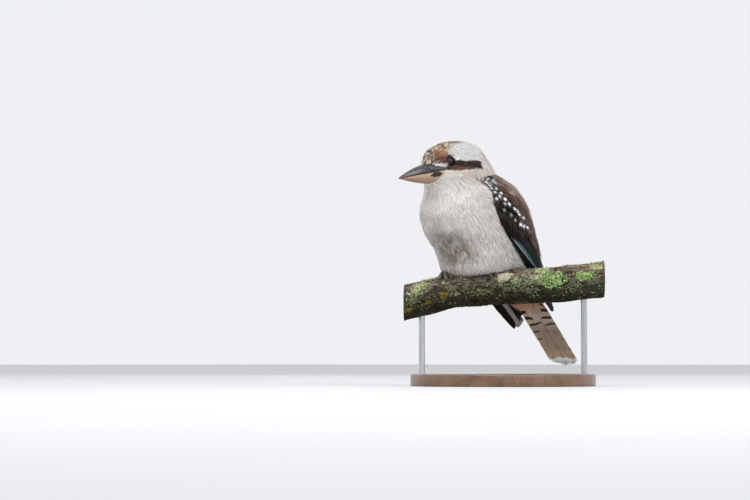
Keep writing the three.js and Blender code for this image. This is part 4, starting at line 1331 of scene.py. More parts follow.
# Tips of the primaries (along, across), front to back: the free wing's, then the tucked wing's.
PRIMARY_TIPS = (
    ((1.0, 0.20), (0.998, 0.25), (0.99, 0.30), (0.98, 0.36),
     (0.965, 0.42), (0.95, 0.50), (1.03, 0.73), (0.915, 0.86)),
    ((0.965, 0.10), (0.955, 0.14), (0.94, 0.20), (0.92, 0.26),
     (0.895, 0.33), (0.87, 0.41), (0.84, 0.50), (0.80, 0.60)),
)


def wing_shade(kind, tone, f):
    """Colours over one long wing feather: s along, w across from -1 (front edge) to 1."""

    def shade(s, w, under):
        p = np.stack([w * 6 + 40 * f, s * 60, np.full(s.shape, tone * 50)], -1)
        grain = noise3(p, (1.2, 9, 5), 3)
        edge = smooth(0.55, 0.95, np.abs(w))
        tip = smooth(0.86, 0.99, s)
        if kind == "tertial":
            c = mix(MANTLE_DARK, MANTLE, smooth(0.3, 0.7, grain))
            c = mix(c, COVERT_BROWN, 0.55)
            rim = np.clip(edge * 0.6 + tip * 0.3, 0, 1) * (0.15 + 0.6 * tone)
            c = mix(c, MANTLE_PALE, rim)
            return mix(c, COVERT, 0.6 * np.exp(-(w / 0.10) ** 2))
        if kind == "primary":
            rim = smooth(0.55, 0.95, w) * (0.75 if f > 0.35 else 0.10) * smooth(0.5, 0.8, s)
            brown = 0.4 * grain + 0.5 * smooth(0.9, 1.0, s) * tone
            c = paint(FLIGHT, (COVERT_BROWN, brown), (FEATHER_GREY, rim))
            if not under:
                return c
            # The rearmost but one has a grey strip below, and the last a grey rim.
            strip = smooth(0.72, 0.84, f) * smooth(0.99, 0.9, f)
            strip = strip * np.maximum(smooth(0.4, -0.1, w), smooth(0.86, 0.93, s)) * 0.85
            rim = smooth(0.9, 1.0, f) * smooth(0.82, 0.95, w) * 0.7
            return paint(c, (FLIGHT_UNDER, 0.5), (FEATHER_GREY, strip), (FEATHER_GREY, rim))
        if kind == "secondary":
            return paint(
                FLIGHT,
                (COVERT_BROWN, 0.35 * grain),
                (GREEN_GREY, smooth(0.3, -0.6, w) * 0.6),
                (FEATHER_GREY, smooth(0.97, 1.0, s) * 0.35),
            )
        if kind == "edge":
            return mix(FLIGHT, COVERT_BROWN, 0.3 * grain)
        deep = mix(BLUE, GREEN_GREY, 0.3 + 0.6 * tone) * (1.0 if f < 0.3 else 0.6)
        c = mix(FLIGHT, deep, smooth(0.9, 0.2, np.abs(w)) * smooth(0.12, 0.3, s) * (0.5 + 0.5 * tone))
        streak = np.exp(-((w - 0.1) / 0.30) ** 2) * smooth(0.10, 0.18, s) * smooth(1.0, 0.75, s)
        return mix(c, BLUE_PALE, streak * (0.95 if f < 0.1 else (0.45 if f < 0.25 else 0.04)))

    return shade


def long_vanes(tucked):
    place = wing_surface(tucked)
    vanes = []
    for kind, count, roots, tips, half, rise, blunt in WING_ROWS:
        for i in range(count):
            f = i / (count - 1)
            root = lerp(*np.array(roots), f) + (rng.random(2) - 0.5) * (0.008, 0.012)
            stray = (rng.random(2) - 0.5) * (0.02, 0.012)
            tip = PRIMARY_TIPS[tucked][i] + 0.5 * stray if tips is None else lerp(*np.array(tips), f) + stray
            own_half = half * (1 + 0.12 * (rng.random() - 0.5))
            worn = rng.random(3)

            def surface(s, across, lift, root=root, tip=tip):
                a, k = (lerp(root[axis], tip[axis], s) for axis in (0, 1))
                chord = np.linalg.norm(wing_point(a, 1.0, tucked) - wing_point(a, 0.0, tucked), axis=-1)
                return place(a, k + across / (chord * 1.15), lift)

            def breadth(s, w, own_half=own_half, blunt=blunt, worn=worn):
                wave = 0.04 * np.sin(s * 23 + 6 * worn[0]) * smooth(0.3, 0.8, s)
                split = 0.16 * np.exp(-((s - 0.55 - 0.35 * worn[1]) / 0.015) ** 2) * (worn[2] > 0.5)
                return own_half * vane_shape(s, blunt) * (1 + wave - split)

            def lift(s, w, rise=rise):
                return lerp(rise[0], rise[1], s) + WING_LEAN * w * np.minimum(1, s * 3)

            vanes.append(vane_mesh(
                surface, 34, 13, breadth, lift, 0.7, 0.35, wing_shade(kind, rng.random(), f), 1.5))
    return vanes


# Where the brown scapulars start: along, across. In front of it the coverts are black.
BROWN_LINE = np.array([
    (-0.05, 0.50), (0.0, 0.40), (0.02, 0.27), (0.043, 0.19), (0.085, 0.165), (0.115, 0.185), (0.147, 0.205),
    (0.19, 0.25), (0.217, 0.27), (0.253, 0.32), (0.30, 0.335), (0.35, 0.365), (0.45, 0.42),
]).T
# White drops near the ends of the black coverts: along, across, half width of the feather, whiteness.
SPOTS = np.array([
    (-0.018, 0.10, 1.9, 0.7), (-0.010, 0.20, 1.9, 0.6), (0.005, 0.06, 2.0, 0.8), (0.010, 0.15, 2.0, 0.8),
    (0.028, 0.12, 2.1, 0.9), (0.032, 0.05, 2.1, 0.8), (0.052, 0.113, 2.3, 1.0), (0.058, 0.045, 2.1, 0.8),
    (0.077, 0.093, 2.4, 1.0), (0.078, 0.035, 2.2, 0.7), (0.087, 0.145, 2.2, 0.7),
    (0.108, 0.088, 2.6, 1.0), (0.116, 0.155, 2.7, 1.0),
    (0.130, 0.105, 2.6, 0.9), (0.140, 0.055, 2.4, 0.7), (0.148, 0.148, 2.8, 1.0), (0.176, 0.165, 3.0, 1.0),
    (0.172, 0.115, 2.4, 0.5), (0.205, 0.203, 2.7, 0.9), (0.218, 0.225, 2.7, 0.9), (0.235, 0.235, 2.9, 1.0),
    (0.255, 0.285, 3.4, 1.0), (0.289, 0.205, 3.9, 1.0), (0.299, 0.245, 3.9, 1.0), (0.308, 0.300, 3.7, 1.0),
    (0.235, 0.127, 2.6, 0.30), (0.263, 0.153, 2.8, 0.35), (0.205, 0.075, 2.5, 0.25),
]).T
# Length of a spotted feather, in millimetres.
SPOT_LONG = 12.0
# Points along and across a covert, and its barbs.
COVERT_STATIONS = 9
COVERT_LATERAL = 7
COVERT_BARBS = 10


def covert_shades(blades, w, s, a, k, end_a, brown, drop_white):
    """Colours over coverts and scapulars: w and s are the places across and along each blade, a and k its
    root and end_a its end on the wing. The last blades are the spotted ones."""
    count = len(a)
    tone = rng.random(count)[:, None, None]
    streak = noise3(np.stack([a * 22, k * 90, 0 * a], -1), (4.0, 7.0, 1), 19)[:, None, None]
    fine = noise3(blades, 1.6, 23)
    edge = smooth(0.35, 0.95, np.abs(w))
    tip = smooth(0.75, 1.0, s)
    pale = np.clip(edge * 0.55 + tip * 0.35, 0, 1) * (0.25 + 0.75 * smooth(0.4, 0.75, streak))
    # Painted light: a pale glow on the brown feathers whose ends lie near the shoulder.
    painted_glow = 0.30 * smooth(0.19, 0.13, end_a) * smooth(0.07, 0.11, end_a)
    # Painted shade: a dark zone runs beside the black coverts and over the shoulder.
    off_line = k - look_up(BROWN_LINE, end_a)
    painted_shade_zone = smooth(0.135, 0.06, off_line) * smooth(0.34, 0.24, end_a)
    painted_shade_zone = np.maximum(0.97 * painted_shade_zone, 0.55 * smooth(0.10, 0.05, end_a))
    lower = smooth(0.24, 0.33, end_a) * (0.45 + 0.4 * rng.random(count))
    brown_colour = paint(
        MANTLE_DARK,
        (MANTLE, np.clip(0.35 * fine + 1.3 * (streak - 0.12), 0, 1)),
        (MANTLE_PALE, np.clip(pale * (0.4 + 0.9 * smooth(0.5, 0.95, tone)), 0, 1)),
        (COVERT, 0.45 * np.exp(-(w / 0.14) ** 2)),
        (MANTLE_PALE, painted_glow[:, None, None]),
        (MANTLE_DARK, painted_shade_zone[:, None, None]),
        (COVERT_BROWN, lower[:, None, None] * 0.8),
    )
    # Near the shoulder the plain coverts are mottled with white too.
    white = smooth(0.09, 0.05, end_a) * (rng.random(count) > 0.40) * 0.8
    white[-len(drop_white):] = drop_white
    drop = oval(((s - 0.80, 0.24), (w, 1.0)), 2) * (0.62 + 0.38 * smooth(0.30, 0.55, fine))
    drop = drop * lerp(0.72, 1.0, smooth(0.05, 0.20, end_a))[:, None, None]
    dark_colour = paint(
        COVERT,
        (COVERT_BROWN, fine * smooth(0.3, 0.8, tone)),
        (MANTLE, 0.30 * edge * smooth(0.55, 0.9, tone)),
        (SPOT, np.clip(drop * white[:, None, None] * 1.25, 0, 1)),
    )
    return np.where(brown[:, None, None, None], brown_colour, dark_colour)


def small_wing_feathers(tucked):
    """Coverts and scapulars: blades with a chart each, and barbs that take their blade's colours."""
    place = wing_surface(tucked)

    def gap_of(a, k, p):
        brown = k > look_up(BROWN_LINE, a)
        small = np.interp(a, [-0.04, 0.05, 0.15, 0.25, 0.4], [2.6, 3.2, 3.9, 5.0, 5.6])
        return np.where(brown, small * 1.35, small)

    a, k = scatter(lambda x, y: place(x, y), (-0.022, 0.335), (0.015, 0.985), gap_of, (120, 90))
    brown = k > look_up(BROWN_LINE, a)
    keep = np.where(brown, a < 0.30, a < 0.27) | (k > 0.5)
    a, k, brown = a[keep], k[keep], brown[keep]
    # The spotted feathers come last, their drops where the list has them.
    e = 0.01
    drop_a, drop_k, drop_half, drop_white = SPOTS
    run = np.linalg.norm(place(drop_a + e, drop_k) - place(drop_a, drop_k), axis=-1) / e
    plain = len(a)
    a = np.append(a, drop_a - 0.8 * SPOT_LONG / run)
    k = np.append(k, drop_k)
    brown = np.append(brown, np.zeros(len(drop_a), bool))
    count = len(a)
    spotted = np.arange(count) >= plain
    length = np.interp(a, [-0.04, 0.05, 0.15, 0.25, 0.4], [10, 13, 19, 27, 30])
    length = length * np.where(brown, 1.35, 1.0) * (1 + 0.16 * (rng.random(count) - 0.5))
    half = np.interp(a, [-0.04, 0.05, 0.15, 0.25, 0.4], [2.3, 2.8, 3.6, 4.6, 5.0])
    half = half * np.where(brown, 1.25, 1.0) * (1 + 0.16 * (rng.random(count) - 0.5))
    length[plain:] = SPOT_LONG
    half[plain:] = drop_half
    per_a = np.linalg.norm(place(a + e, k) - place(a, k), axis=-1) / e
    per_k = np.linalg.norm(place(a, k + e) - place(a, k), axis=-1) / e
    drift = np.where(brown, 0.10, 0.14) * (1 - 2 * np.clip(k, 0, 1))
    drift = drift + 0.2 * (noise3(place(a, k), 13, 12) - 0.5)
    drift = np.where(spotted, 0, drift + 0.10 * (rng.random(count) - 0.5))
    s = np.linspace(0, 1, COVERT_STATIONS)
    da = (length * np.cos(drift) / per_a)[:, None] * s
    dk = (length * np.sin(drift) / per_k)[:, None] * s
    rise = np.where(brown, 1.0, 0.6) * (0.7 + 0.6 * rng.random(count))
    rise[plain:] = 1.35
    lift = -1.7 + (1.7 + rise)[:, None] * s ** 0.8
    middle = place(a[:, None] + da, k[:, None] + dk, lift)
    heading = unit(np.gradient(middle, axis=1))
    normal = wing_normal(np.maximum(a[:, None] + da, 0), k[:, None] + dk, tucked)
    side = unit(np.cross(normal, heading))
    up = np.cross(heading, side)
    outline = np.array([0.45, 0.70, 0.88, 0.98, 1.0, 0.96, 0.86, 0.64, 0.24])
    width = half[:, None] * outline
    thick = np.linspace(0.28, 0.14, COVERT_STATIONS) * np.ones((count, 1))
    blades = blade_points(middle, side, up, width, thick, 0.16, COVERT_LATERAL)
    spikes, at, sense = barb_parts(
        middle, heading, side, up, width, length, np.full(count, 0.8), COVERT_BARBS, 0.22)
    w, _ = ring_places(COVERT_LATERAL)
    across = np.broadcast_to(w, blades.shape[:3])
    along = np.broadcast_to(s[:, None], blades.shape[:3])
    shade = covert_shades(blades, across, along, a, k, a + da[:, -1], brown, drop_white)
    column = np.clip(np.round((sense + 1) / 2 * (COVERT_LATERAL - 1)).astype(int), 0, COVERT_LATERAL - 1)
    row = np.clip(np.round(at * (COVERT_STATIONS - 1)).astype(int), 0, COVERT_STATIONS - 1)
    pick = np.arange(count)[:, None]
    spike_tint = np.repeat(shade[pick, row, column].reshape(-1, 1, 3), BARB_POINTS, 1)
    # The blade's upper side takes the left half of its cell on the map, its underside the right half.
    over = np.where(np.arange(len(w)) < COVERT_LATERAL, (w + 1) * 0.24, 0.52 + (1 - w) * 0.23)
    chart = np.stack(np.broadcast_arrays(over, s[:, None]), -1)
    vane_place = np.stack([across * width[..., None] * 0.01, along * 0.35], -1)
    return blades, spikes, shade, spike_tint, chart, vane_place, np.stack([(sense + 1) * 0.24, at], -1)


# Shares of a wing's map, how far a barb's points spread on it, and how far the wing stays off the bark.
LONG_SHARE = 0.45
SMALL_SHARE = 0.54
BARB_MAP = 0.0002
WING_ROOM = 0.4


def build_wing(tucked):
    name = "left" if tucked else "right"
    sign = 1.0 if tucked else -1.0
    vanes = long_vanes(tucked)
    blades, spikes, shade, spike_tint, chart, vane_place, barb_chart = small_wing_feathers(tucked)
    count = len(blades)
    cells = math.ceil(math.sqrt(count + 4 * len(vanes)))
    points, faces, tint, vane_uv, bake = gather(vanes)
    # The long feathers take the upper part of the map, the small ones the rest.
    bake = bake * (1.0, LONG_SHARE) + (0.0, 1 - LONG_SHARE)
    rows = math.ceil(count / cells)
    corner = np.stack([np.arange(count) % cells, np.arange(count) // cells], -1) + 0.04
    scale = np.array([1.0 / cells, SMALL_SHARE / rows])
    small_bake = (corner[:, None, None] + chart[None] * 0.92) * scale
    spike_bake = ((corner[:, None] + barb_chart * 0.92) * scale).reshape(-1, 1, 2) + BARB_SPREAD * BARB_MAP
    faces = [*outward(points, faces), *feather_faces(blades, COVERT_BARBS, len(points))]
    points = clear_perch(joined(3, points, blades, spikes) * (sign, 1, 1), WING_ROOM)
    obj = make_object(
        f"wing_{name}_feathers", points, faces, joined(3, tint, shade, spike_tint),
        joined(2, bake, small_bake, spike_bake),
        joined(2, vane_uv, vane_place, np.zeros((len(spikes) * BARB_POINTS, 2))))
    return dress(obj, plume_dark, (f"wing_{name}",))


# Tail.

TAIL_ROOT = np.array([0.0, 106.0, 140.0])
TAIL_TIP = np.array([0.0, 219.0, 24.0])
TAIL_PAIRS = 6
# How far one pair lies over the next, in millimetres, and how much the tail is arched across.
LAYER = 0.74
TAIL_ARCH = 0.004
TAIL_LONG = float(np.linalg.norm(TAIL_TIP - TAIL_ROOT))
TAIL_RUN = (TAIL_TIP - TAIL_ROOT) / TAIL_LONG
TAIL_UP = np.array([0.0, -TAIL_RUN[2], TAIL_RUN[1]])
# Dark bars of the tail, as shares of its length.
TAIL_BARS = (0.09, 0.17, 0.255, 0.332, 0.412, 0.490, 0.568, 0.645, 0.725, 0.80, 0.868)


def tail_point(s, x, up):
    s, x, up = np.broadcast_arrays(s, x, up)
    p = TAIL_ROOT + (s * TAIL_LONG)[..., None] * TAIL_RUN + (up - TAIL_ARCH * x * x)[..., None] * TAIL_UP
    p[..., 0] += x
    return p


# Dark marks on the underside of the two outer feathers: along at the left end and at the right end,
# sideways from and to in millimetres, half thickness as a share of the length, strength.
TAIL_MARKS = [
    (0.09, 0.09, -24, -8, 0.012, 1.0), (0.17, 0.17, -24, -12, 0.013, 1.0),
    (0.262, 0.256, -24, -14.5, 0.015, 1.0), (0.343, 0.343, -25, -15, 0.016, 1.0),
    (0.408, 0.416, -25, -11, 0.015, 1.0), (0.497, 0.466, -25, -1, 0.0095, 1.0),
    (0.572, 0.560, -25, -12, 0.008, 0.9), (0.652, 0.644, -24, -13, 0.007, 0.7),
    (0.10, 0.10, 8, 25, 0.012, 1.0), (0.18, 0.175, 9, 25, 0.014, 1.0), (0.255, 0.25, 14, 24, 0.017, 1.0),
    (0.328, 0.318, 10, 26, 0.016, 1.0), (0.421, 0.398, 3, 26, 0.0105, 1.0),
    (0.500, 0.465, 3, 27, 0.0085, 0.95), (0.585, 0.575, 9, 20, 0.006, 0.45),
    (0.665, 0.655, 12, 22, 0.007, 0.4), (0.775, 0.765, 20.5, 25, 0.010, 0.8),
    (0.85, 0.845, 20, 25, 0.009, 0.8),
]


def tail_marks(s, x):
    """How dark the underside's marks are at s along and x sideways."""
    total = np.zeros(s.shape)
    p = np.stack([x, s * 160, 0 * x], -1)
    ragged = noise3(p, 2.2, 41) - 0.5
    wander = 0.010 * (noise3(p, (6.0, 30, 5), 42) - 0.5)
    for left, right, x_from, x_to, thick, strength in TAIL_MARKS:
        f = np.clip((x - x_from) / (x_to - x_from), 0, 1)
        away = np.abs(s + wander - lerp(left, right, f)) / (thick * (0.75 + 0.5 * np.sin(math.pi * f)))
        ends = np.maximum(x_from - x, x - x_to) / 1.6
        total = np.maximum(total, strength * smooth(1.25, 0.75, np.maximum(away, 1 + ends) + 0.5 * ragged))
    return total


def tail_shade(pair, side, tone, place, full, length):
    """Colours over one tail feather: s along, w across from its inner edge (-1) to its outer edge."""
    out = pair / (TAIL_PAIRS - 1)

    def shade(s, w, under):
        p = np.stack([w * 9 + 30 * pair, s * 160, np.full(s.shape, tone * 40)], -1)
        mottle = layered(p, (4, 8, 5), 8)
        fine = noise3(p, (1.2, 2.5, 5), 18)
        if under:
            c = paint(
                TAIL_TAN,
                (TAIL_CREAM, smooth(0.28, 0.45, s + 0.25 * (mottle - 0.5) + 0.08 * tone)),
                (TAIL_BROWN, smooth(0.42, 0.62, s + 0.14 * (mottle - 0.5))),
                (TAIL_CREAM, 0.35 * smooth(0.5, 0.75, mottle)),
                (MANTLE, 0.35 * smooth(0.55, 0.8, fine) * smooth(0.4, 0.6, s)),
                (MANTLE_DARK, 0.32 * smooth(0.47, 0.25, mottle) * smooth(0.15, 0.35, s)),
                (TAIL_TAN, smooth(0.3, 0.9, w) * smooth(0.55, 0.7, s) * 0.6),
            )
        else:
            c = mix(TAIL_RUFOUS, MANTLE, 0.45 * mottle)
        c = mix(c, TAIL_TAN, 0.75 * np.exp(-((s - 0.885) / 0.035) ** 2) * (0.4 + 0.6 * fine))
        ripple = 0.013 * np.sin(4 * w + tone * 6) + 0.012 * (fine - 0.5)
        for number, centre in enumerate(TAIL_BARS):
            at = centre + 0.010 * math.sin(3 * number + 7 * tone)
            width = 0.0095 + 0.004 * math.sin(5 * number + tone * 9)
            bar = np.exp(-(((s + ripple - at) / width) ** 2) ** 1.4)
            strength = 0 if under and out == 1 else (1.0 if number < 10 else 0.6)
            c = mix(c, TAIL_BAR, bar * strength)
        if under and out == 1:
            x = side * (place * (0.3 + 0.7 * np.minimum(1, s * 3)) + w * full)
            c = mix(c, TAIL_BAR, tail_marks(s * length, x))
        white_from = lerp(0.955, 0.925, out) + 0.02 * tone
        c = mix(c, WHITE, smooth(white_from, white_from + 0.02, s + ripple))
        worn = smooth(0.62, 0.72, noise3(p, (2.0, 2.5, 5), 28)) * smooth(0.93, 0.97, s)
        c = mix(c, TAIL_BROWN, worn * 0.6)
        return mix(c, TAIL_BAR, 0.15 * np.exp(-(w / 0.04) ** 2) * smooth(0.96, 0.9, s))

    return shade


def line_noise(x):
    return noise3(np.stack([x, 0 * x, 0 * x], -1), 1.0, 3)


def build_tail():
    vanes = []
    for pair in range(TAIL_PAIRS):
        for side in (1, -1):
            out = pair / (TAIL_PAIRS - 1)
            length = 1 - 0.012 * pair + 0.016 * (rng.random() - 0.5)
            layer = TAIL_PAIRS / 2 - pair - (0.35 if side < 0 else 0.0)
            worn = rng.random(6)
            full = lerp(8.2, 11.8, out)
            place = lerp(5.4, 11.5, out)
            if out == 1:
                # The right one of the outer pair is a little wider and lies over the middle line.
                full, place = (12.7, 11.7) if side > 0 else (11.9, 10.9)

            def surface(
                    s, across, lift,
                    side=side, place=place, length=length, layer=layer, worn=worn, full=full):
                opened = np.minimum(1, s * 3)
                middle = side * place * (0.3 + 0.7 * opened)
                up = layer * LAYER * (0.35 + 0.65 * opened)
                w = across / full
                teeth = 0.7 * line_noise(w * 5 + 40 * worn[0]) + 0.3 * line_noise(w * 13 + 40 * worn[1])
                reach = length * (1 - 0.045 * teeth * smooth(0.86, 1.0, s))
                return tail_point(s * reach, middle + across * side, up + lift)

            def breadth(s, w, worn=worn, full=full):
                split = 0.14 * np.exp(-((s - 0.62 - 0.3 * worn[2]) / 0.006) ** 2) * (w > 0)
                return full * vane_shape(s, 0.955, 0.6) * (1 - split)

            shade = tail_shade(pair, side, rng.random(), place, full, length)
            steps = 170 if pair == TAIL_PAIRS - 1 else 80
            points, faces, *rest = vane_mesh(
                surface, steps, 25, breadth, lambda s, w: np.zeros(s.shape), 0.44, 0.12, shade)
            # The two sides mirror each other, so each vane is turned outward by itself.
            vanes.append((points, outward(points, faces), *rest))
    points, faces, tint, vane_uv, bake = gather(vanes)
    obj = make_object("tail_feathers", points, faces, tint, bake, vane_uv)
    return dress(obj, plume_tail, ("tail",))


# Legs.

# Places of the left and the right foot along the branch. Toes: where each ends and starts beside the
# foot's place, turn round the branch from and to, thickness.
FOOT_PLACES = (30.5, -27.5)
TOES = [
    (-8, -3, 0.12, 0.82, 2.9),
    (1, 0, 0.12, 1.0, 3.1),
    (8, 3, 0.12, 0.9, 2.9),
    (-1, 0, -0.12, -0.85, 3.0),
]
# How far a claw reaches round the branch, in radians.
CLAW_SWEEP = 0.36
# How far toes and claws stay off the branch, in millimetres.
GAP = 0.3
FOOT_COLOURS = {
    "scales": ((0.055, 0.046, 0.032), (0.15, 0.13, 0.095)),
    "claws": ((0.022, 0.020, 0.018), (0.06, 0.052, 0.045)),
}


def tube_rings(points, radii, around, bumps=None):
    run = unit(np.gradient(points, axis=0))
    reference = np.array([0.0, 0.0, 1.0]) if abs(run[len(run) // 2, 2]) < 0.8 else np.array([0.0, 1.0, 0.0])
    side = unit(np.cross(run, reference))
    up = np.cross(side, run)
    q = np.linspace(0, TAU, around, endpoint=False)
    reach = np.asarray(radii)[:, None] * np.ones((1, around))
    if bumps is not None:
        reach = reach + bumps
    ring = np.cos(q)[None, :, None] * side[:, None] + np.sin(q)[None, :, None] * up[:, None]
    return points[:, None] + ring * reach[..., None]


def build_leg(place, name, horn, scaly):
    side = 1 if place > 0 else -1
    parts = []
    claws = []
    around = 20
    for spread, start, turn_from, turn_to, thick in TOES:
        steps = 48
        a = np.linspace(0, 1, steps)
        girth = (thick - 0.55) * (1 - 0.16 * a) * (1 + 0.10 * np.cos(a * TAU * 3))
        middle = perch_point(place + lerp(start, spread, a), lerp(turn_from, turn_to, a), girth + GAP + 0.15)
        scutes = 0.14 * np.abs(np.sin(a * math.pi * 13))[:, None] * np.ones((1, around))
        girth = girth * (1 - 0.35 * smooth(0.95, 1.0, a))
        parts.append(tube_rings(middle, girth, around, scutes))
        sense = math.copysign(1, turn_to - turn_from)
        b = np.linspace(-0.12, 1, 26)
        claw_girth = thick * 0.48 * (1 - 0.92 * np.clip(b, 0, 1) ** 0.85)
        claw = perch_point(
            np.full(b.shape, place + spread), turn_to + sense * CLAW_SWEEP * b,
            claw_girth + GAP + 1.7 * np.sin(np.clip(b, 0, 1) * 2.6) + 0.5)
        claws.append(tube_rings(claw, np.maximum(claw_girth, 0.12), 14))
    foot = perch_point(place, 0.0, 3.4)
    ankle = foot + np.array([side * -3.0, 12.0, 22.0])
    a = np.linspace(-0.12, 1, 30)
    shank = foot + (ankle - foot) * a[:, None]
    girth = 3.1 + 1.2 * (2 * np.clip(a, 0, 1) - 1) ** 2
    scutes = 0.16 * np.abs(np.sin(a * math.pi * 8))[:, None] * np.ones((1, around))
    parts.append(tube_rings(shank, girth, around, scutes))
    for label, rings_list, material, wave in (("scales", parts, scaly, 1.6), ("claws", claws, horn, 2.0)):
        points, faces = join_lofts([capped_loft(rings) for rings in rings_list])
        tint = mix(*FOOT_COLOURS[label], noise3(points, wave, 7))
        obj = make_object(f"leg_{name}_{label}", points, faces, tint)
        dress(obj, material, (f"leg_{name}",) if label == "scales" else ())


# Bark and lichen.

# Lichen patches: along the branch, turn from the top towards the viewer, half length, half breadth, kind.
LICHENS = [
    (112, 76, 14, 9, "green"),
    (119, 64, 8, 7, "green"),
    (105, 60, 7, 5, "green"),
    (92, 62, 9, 6, "pale"),
    (98, 78, 9, 5, "mint"),
    (80, 76, 9, 5, "mint"),
    (66, 70, 8, 4, "mint"),
    (94, 22, 10, 5, "pale"),
    (99, 40, 8, 5, "pale"),
    (49, 44, 9, 4, "cream"),
    (47, 58, 9, 4, "cream"),
    (44, 70, 7, 3, "mint"),
    (30, 78, 9, 3, "grey"),
    (60, 92, 14, 4, "mint"),
    (-4, 24, 6, 3, "pale"),
    (12, 30, 5, 3, "cream"),
    (-30, 98, 5, 3.5, "yellow"),
    (-13, 104, 3, 2.2, "cream"),
    (-50, 112, 5, 2.5, "yellow"),
    (-60, 44, 9, 5, "pale"),
    (-66, 64, 9, 7, "pale"),
    (-56, 70, 6, 4, "mint"),
    (-70, 94, 8, 7, "mint"),
    (-76, 118, 5, 4, "yellow"),
    (-44, 22, 7, 4, "pale"),
    (-24, 72, 5, 3.5, "mint"),
    (-28, 60, 4, 3, "pale"),
    (152, 72, 12, 6, "green"),
    (168, 44, 8, 5, "pale"),
    (164, 96, 9, 5, "grey"),
    (138, 104, 12, 4, "mint"),
    (20, 104, 14, 4, "mint"),
    (86, 106, 12, 3.5, "grey"),
    (40, -60, 16, 10, "mint"),
    (90, -80, 18, 9, "grey"),
    (130, -50, 12, 8, "pale"),
    (-40, -70, 14, 9, "mint"),
    (-64, -40, 9, 7, "pale"),
    (0, 175, 18, 8, "grey"),
    (70, 170, 14, 7, "mint"),
]
LICHEN_COLOURS = {
    "green": (0.26, 0.43, 0.14),
    "mint": (0.38, 0.46, 0.24),
    "pale": (0.56, 0.60, 0.32),
    "cream": (0.66, 0.60, 0.42),
    "grey": (0.32, 0.34, 0.27),
    "yellow": (0.56, 0.35, 0.05),
}
# How closed the middle of a patch of each kind is.
LICHEN_CLOSED = {"green": 0.27, "mint": 0.15, "pale": 0.25, "cream": 0.62, "grey": 0.20, "yellow": 0.34}
# How thick each kind's crust is, as a share of the thickest.
LICHEN_CRUST = {"green": 1.0, "mint": 0.7, "pale": 0.45, "cream": 0.35, "grey": 0.4, "yellow": 0.4}
BARK_PALE = (0.30, 0.25, 0.205)
BARK_BROWN = (0.135, 0.102, 0.075)
BARK_PINK = (0.27, 0.18, 0.14)
BARK_MOSS_AND_SHADE = (0.030, 0.036, 0.012)
BARK_BLACK = (0.012, 0.010, 0.007)


def foot_share(s, turn, reach=12):
    """1 where the toes lie on the branch."""
    return np.exp(-((np.abs(s) - 30) / reach) ** 2) * smooth(1.6, 0.9, np.abs(turn))


def lichen_field(s, turn, p):
    """How much of each kind of lichen covers the bark: patches that break up into crumbs at their rims."""
    total = {kind: np.zeros(s.shape) for kind in LICHEN_COLOURS}
    ragged = layered(p, 6.0, 61, 4)
    crumbs = 0.6 * noise3(p, 1.7, 64) + 0.4 * noise3(p, 0.9, 65)
    for at, degrees, long_, broad, kind in LICHENS:
        around = (turn - math.radians(degrees) + math.pi) % TAU - math.pi
        gap = np.sqrt(((s - at) / long_) ** 2 + (around * 23 / broad) ** 2)
        depth = 1.25 - gap - 1.7 * (ragged - 0.5)
        bar = 0.64 - LICHEN_CLOSED[kind] * np.clip(1.6 * depth, 0, 1)
        cover = smooth(0, 0.06, crumbs - bar) * (depth > 0)
        total[kind] = np.maximum(total[kind], cover)
    dust = smooth(0.50, 0.64, layered(p, 8.0, 66)) * smooth(0.64, 0.72, crumbs)
    total["mint"] = np.maximum(total["mint"], dust * 0.7)
    band = smooth(25, 45, s) * np.exp(-((turn - 1.62) / 0.42) ** 2)
    specks = smooth(0.53, 0.64, layered(p, 6.0, 67) + 0.10 * band)
    specks = specks * smooth(0.66, 0.74, noise3(p, 1.5, 68) + 0.04 * band)
    total["pale"] = np.maximum(total["pale"], specks * 0.8)
    return total


def bark_height(s, turn, p):
    """Long shallow furrows and thin plates, kept low where the toes lie."""
    ring = np.stack([s / 26, 3.0 * np.cos(turn), 3.0 * np.sin(turn)], -1)
    furrow = 1 - np.abs(2 * layered(ring * 1.5, 1.0, 71, 4) - 1)
    fibres = noise3(np.stack([s / 9, 23 * np.cos(turn) / 0.9, 23 * np.sin(turn) / 0.9], -1), 1.0, 72)
    plates = layered(p, (6.0, 6.0, 3.5), 75)
    crack = smooth(0.84, 0.985, furrow)
    rough = 0.8 * (plates - 0.5) - 1.3 * crack + 0.55 * (fibres - 0.5) + 0.55 * (noise3(p, 1.6, 77) - 0.5)
    feet = foot_share(s, turn, 14)
    return rough * (1 - 0.55 * feet) - 0.35 * feet, crack, fibres


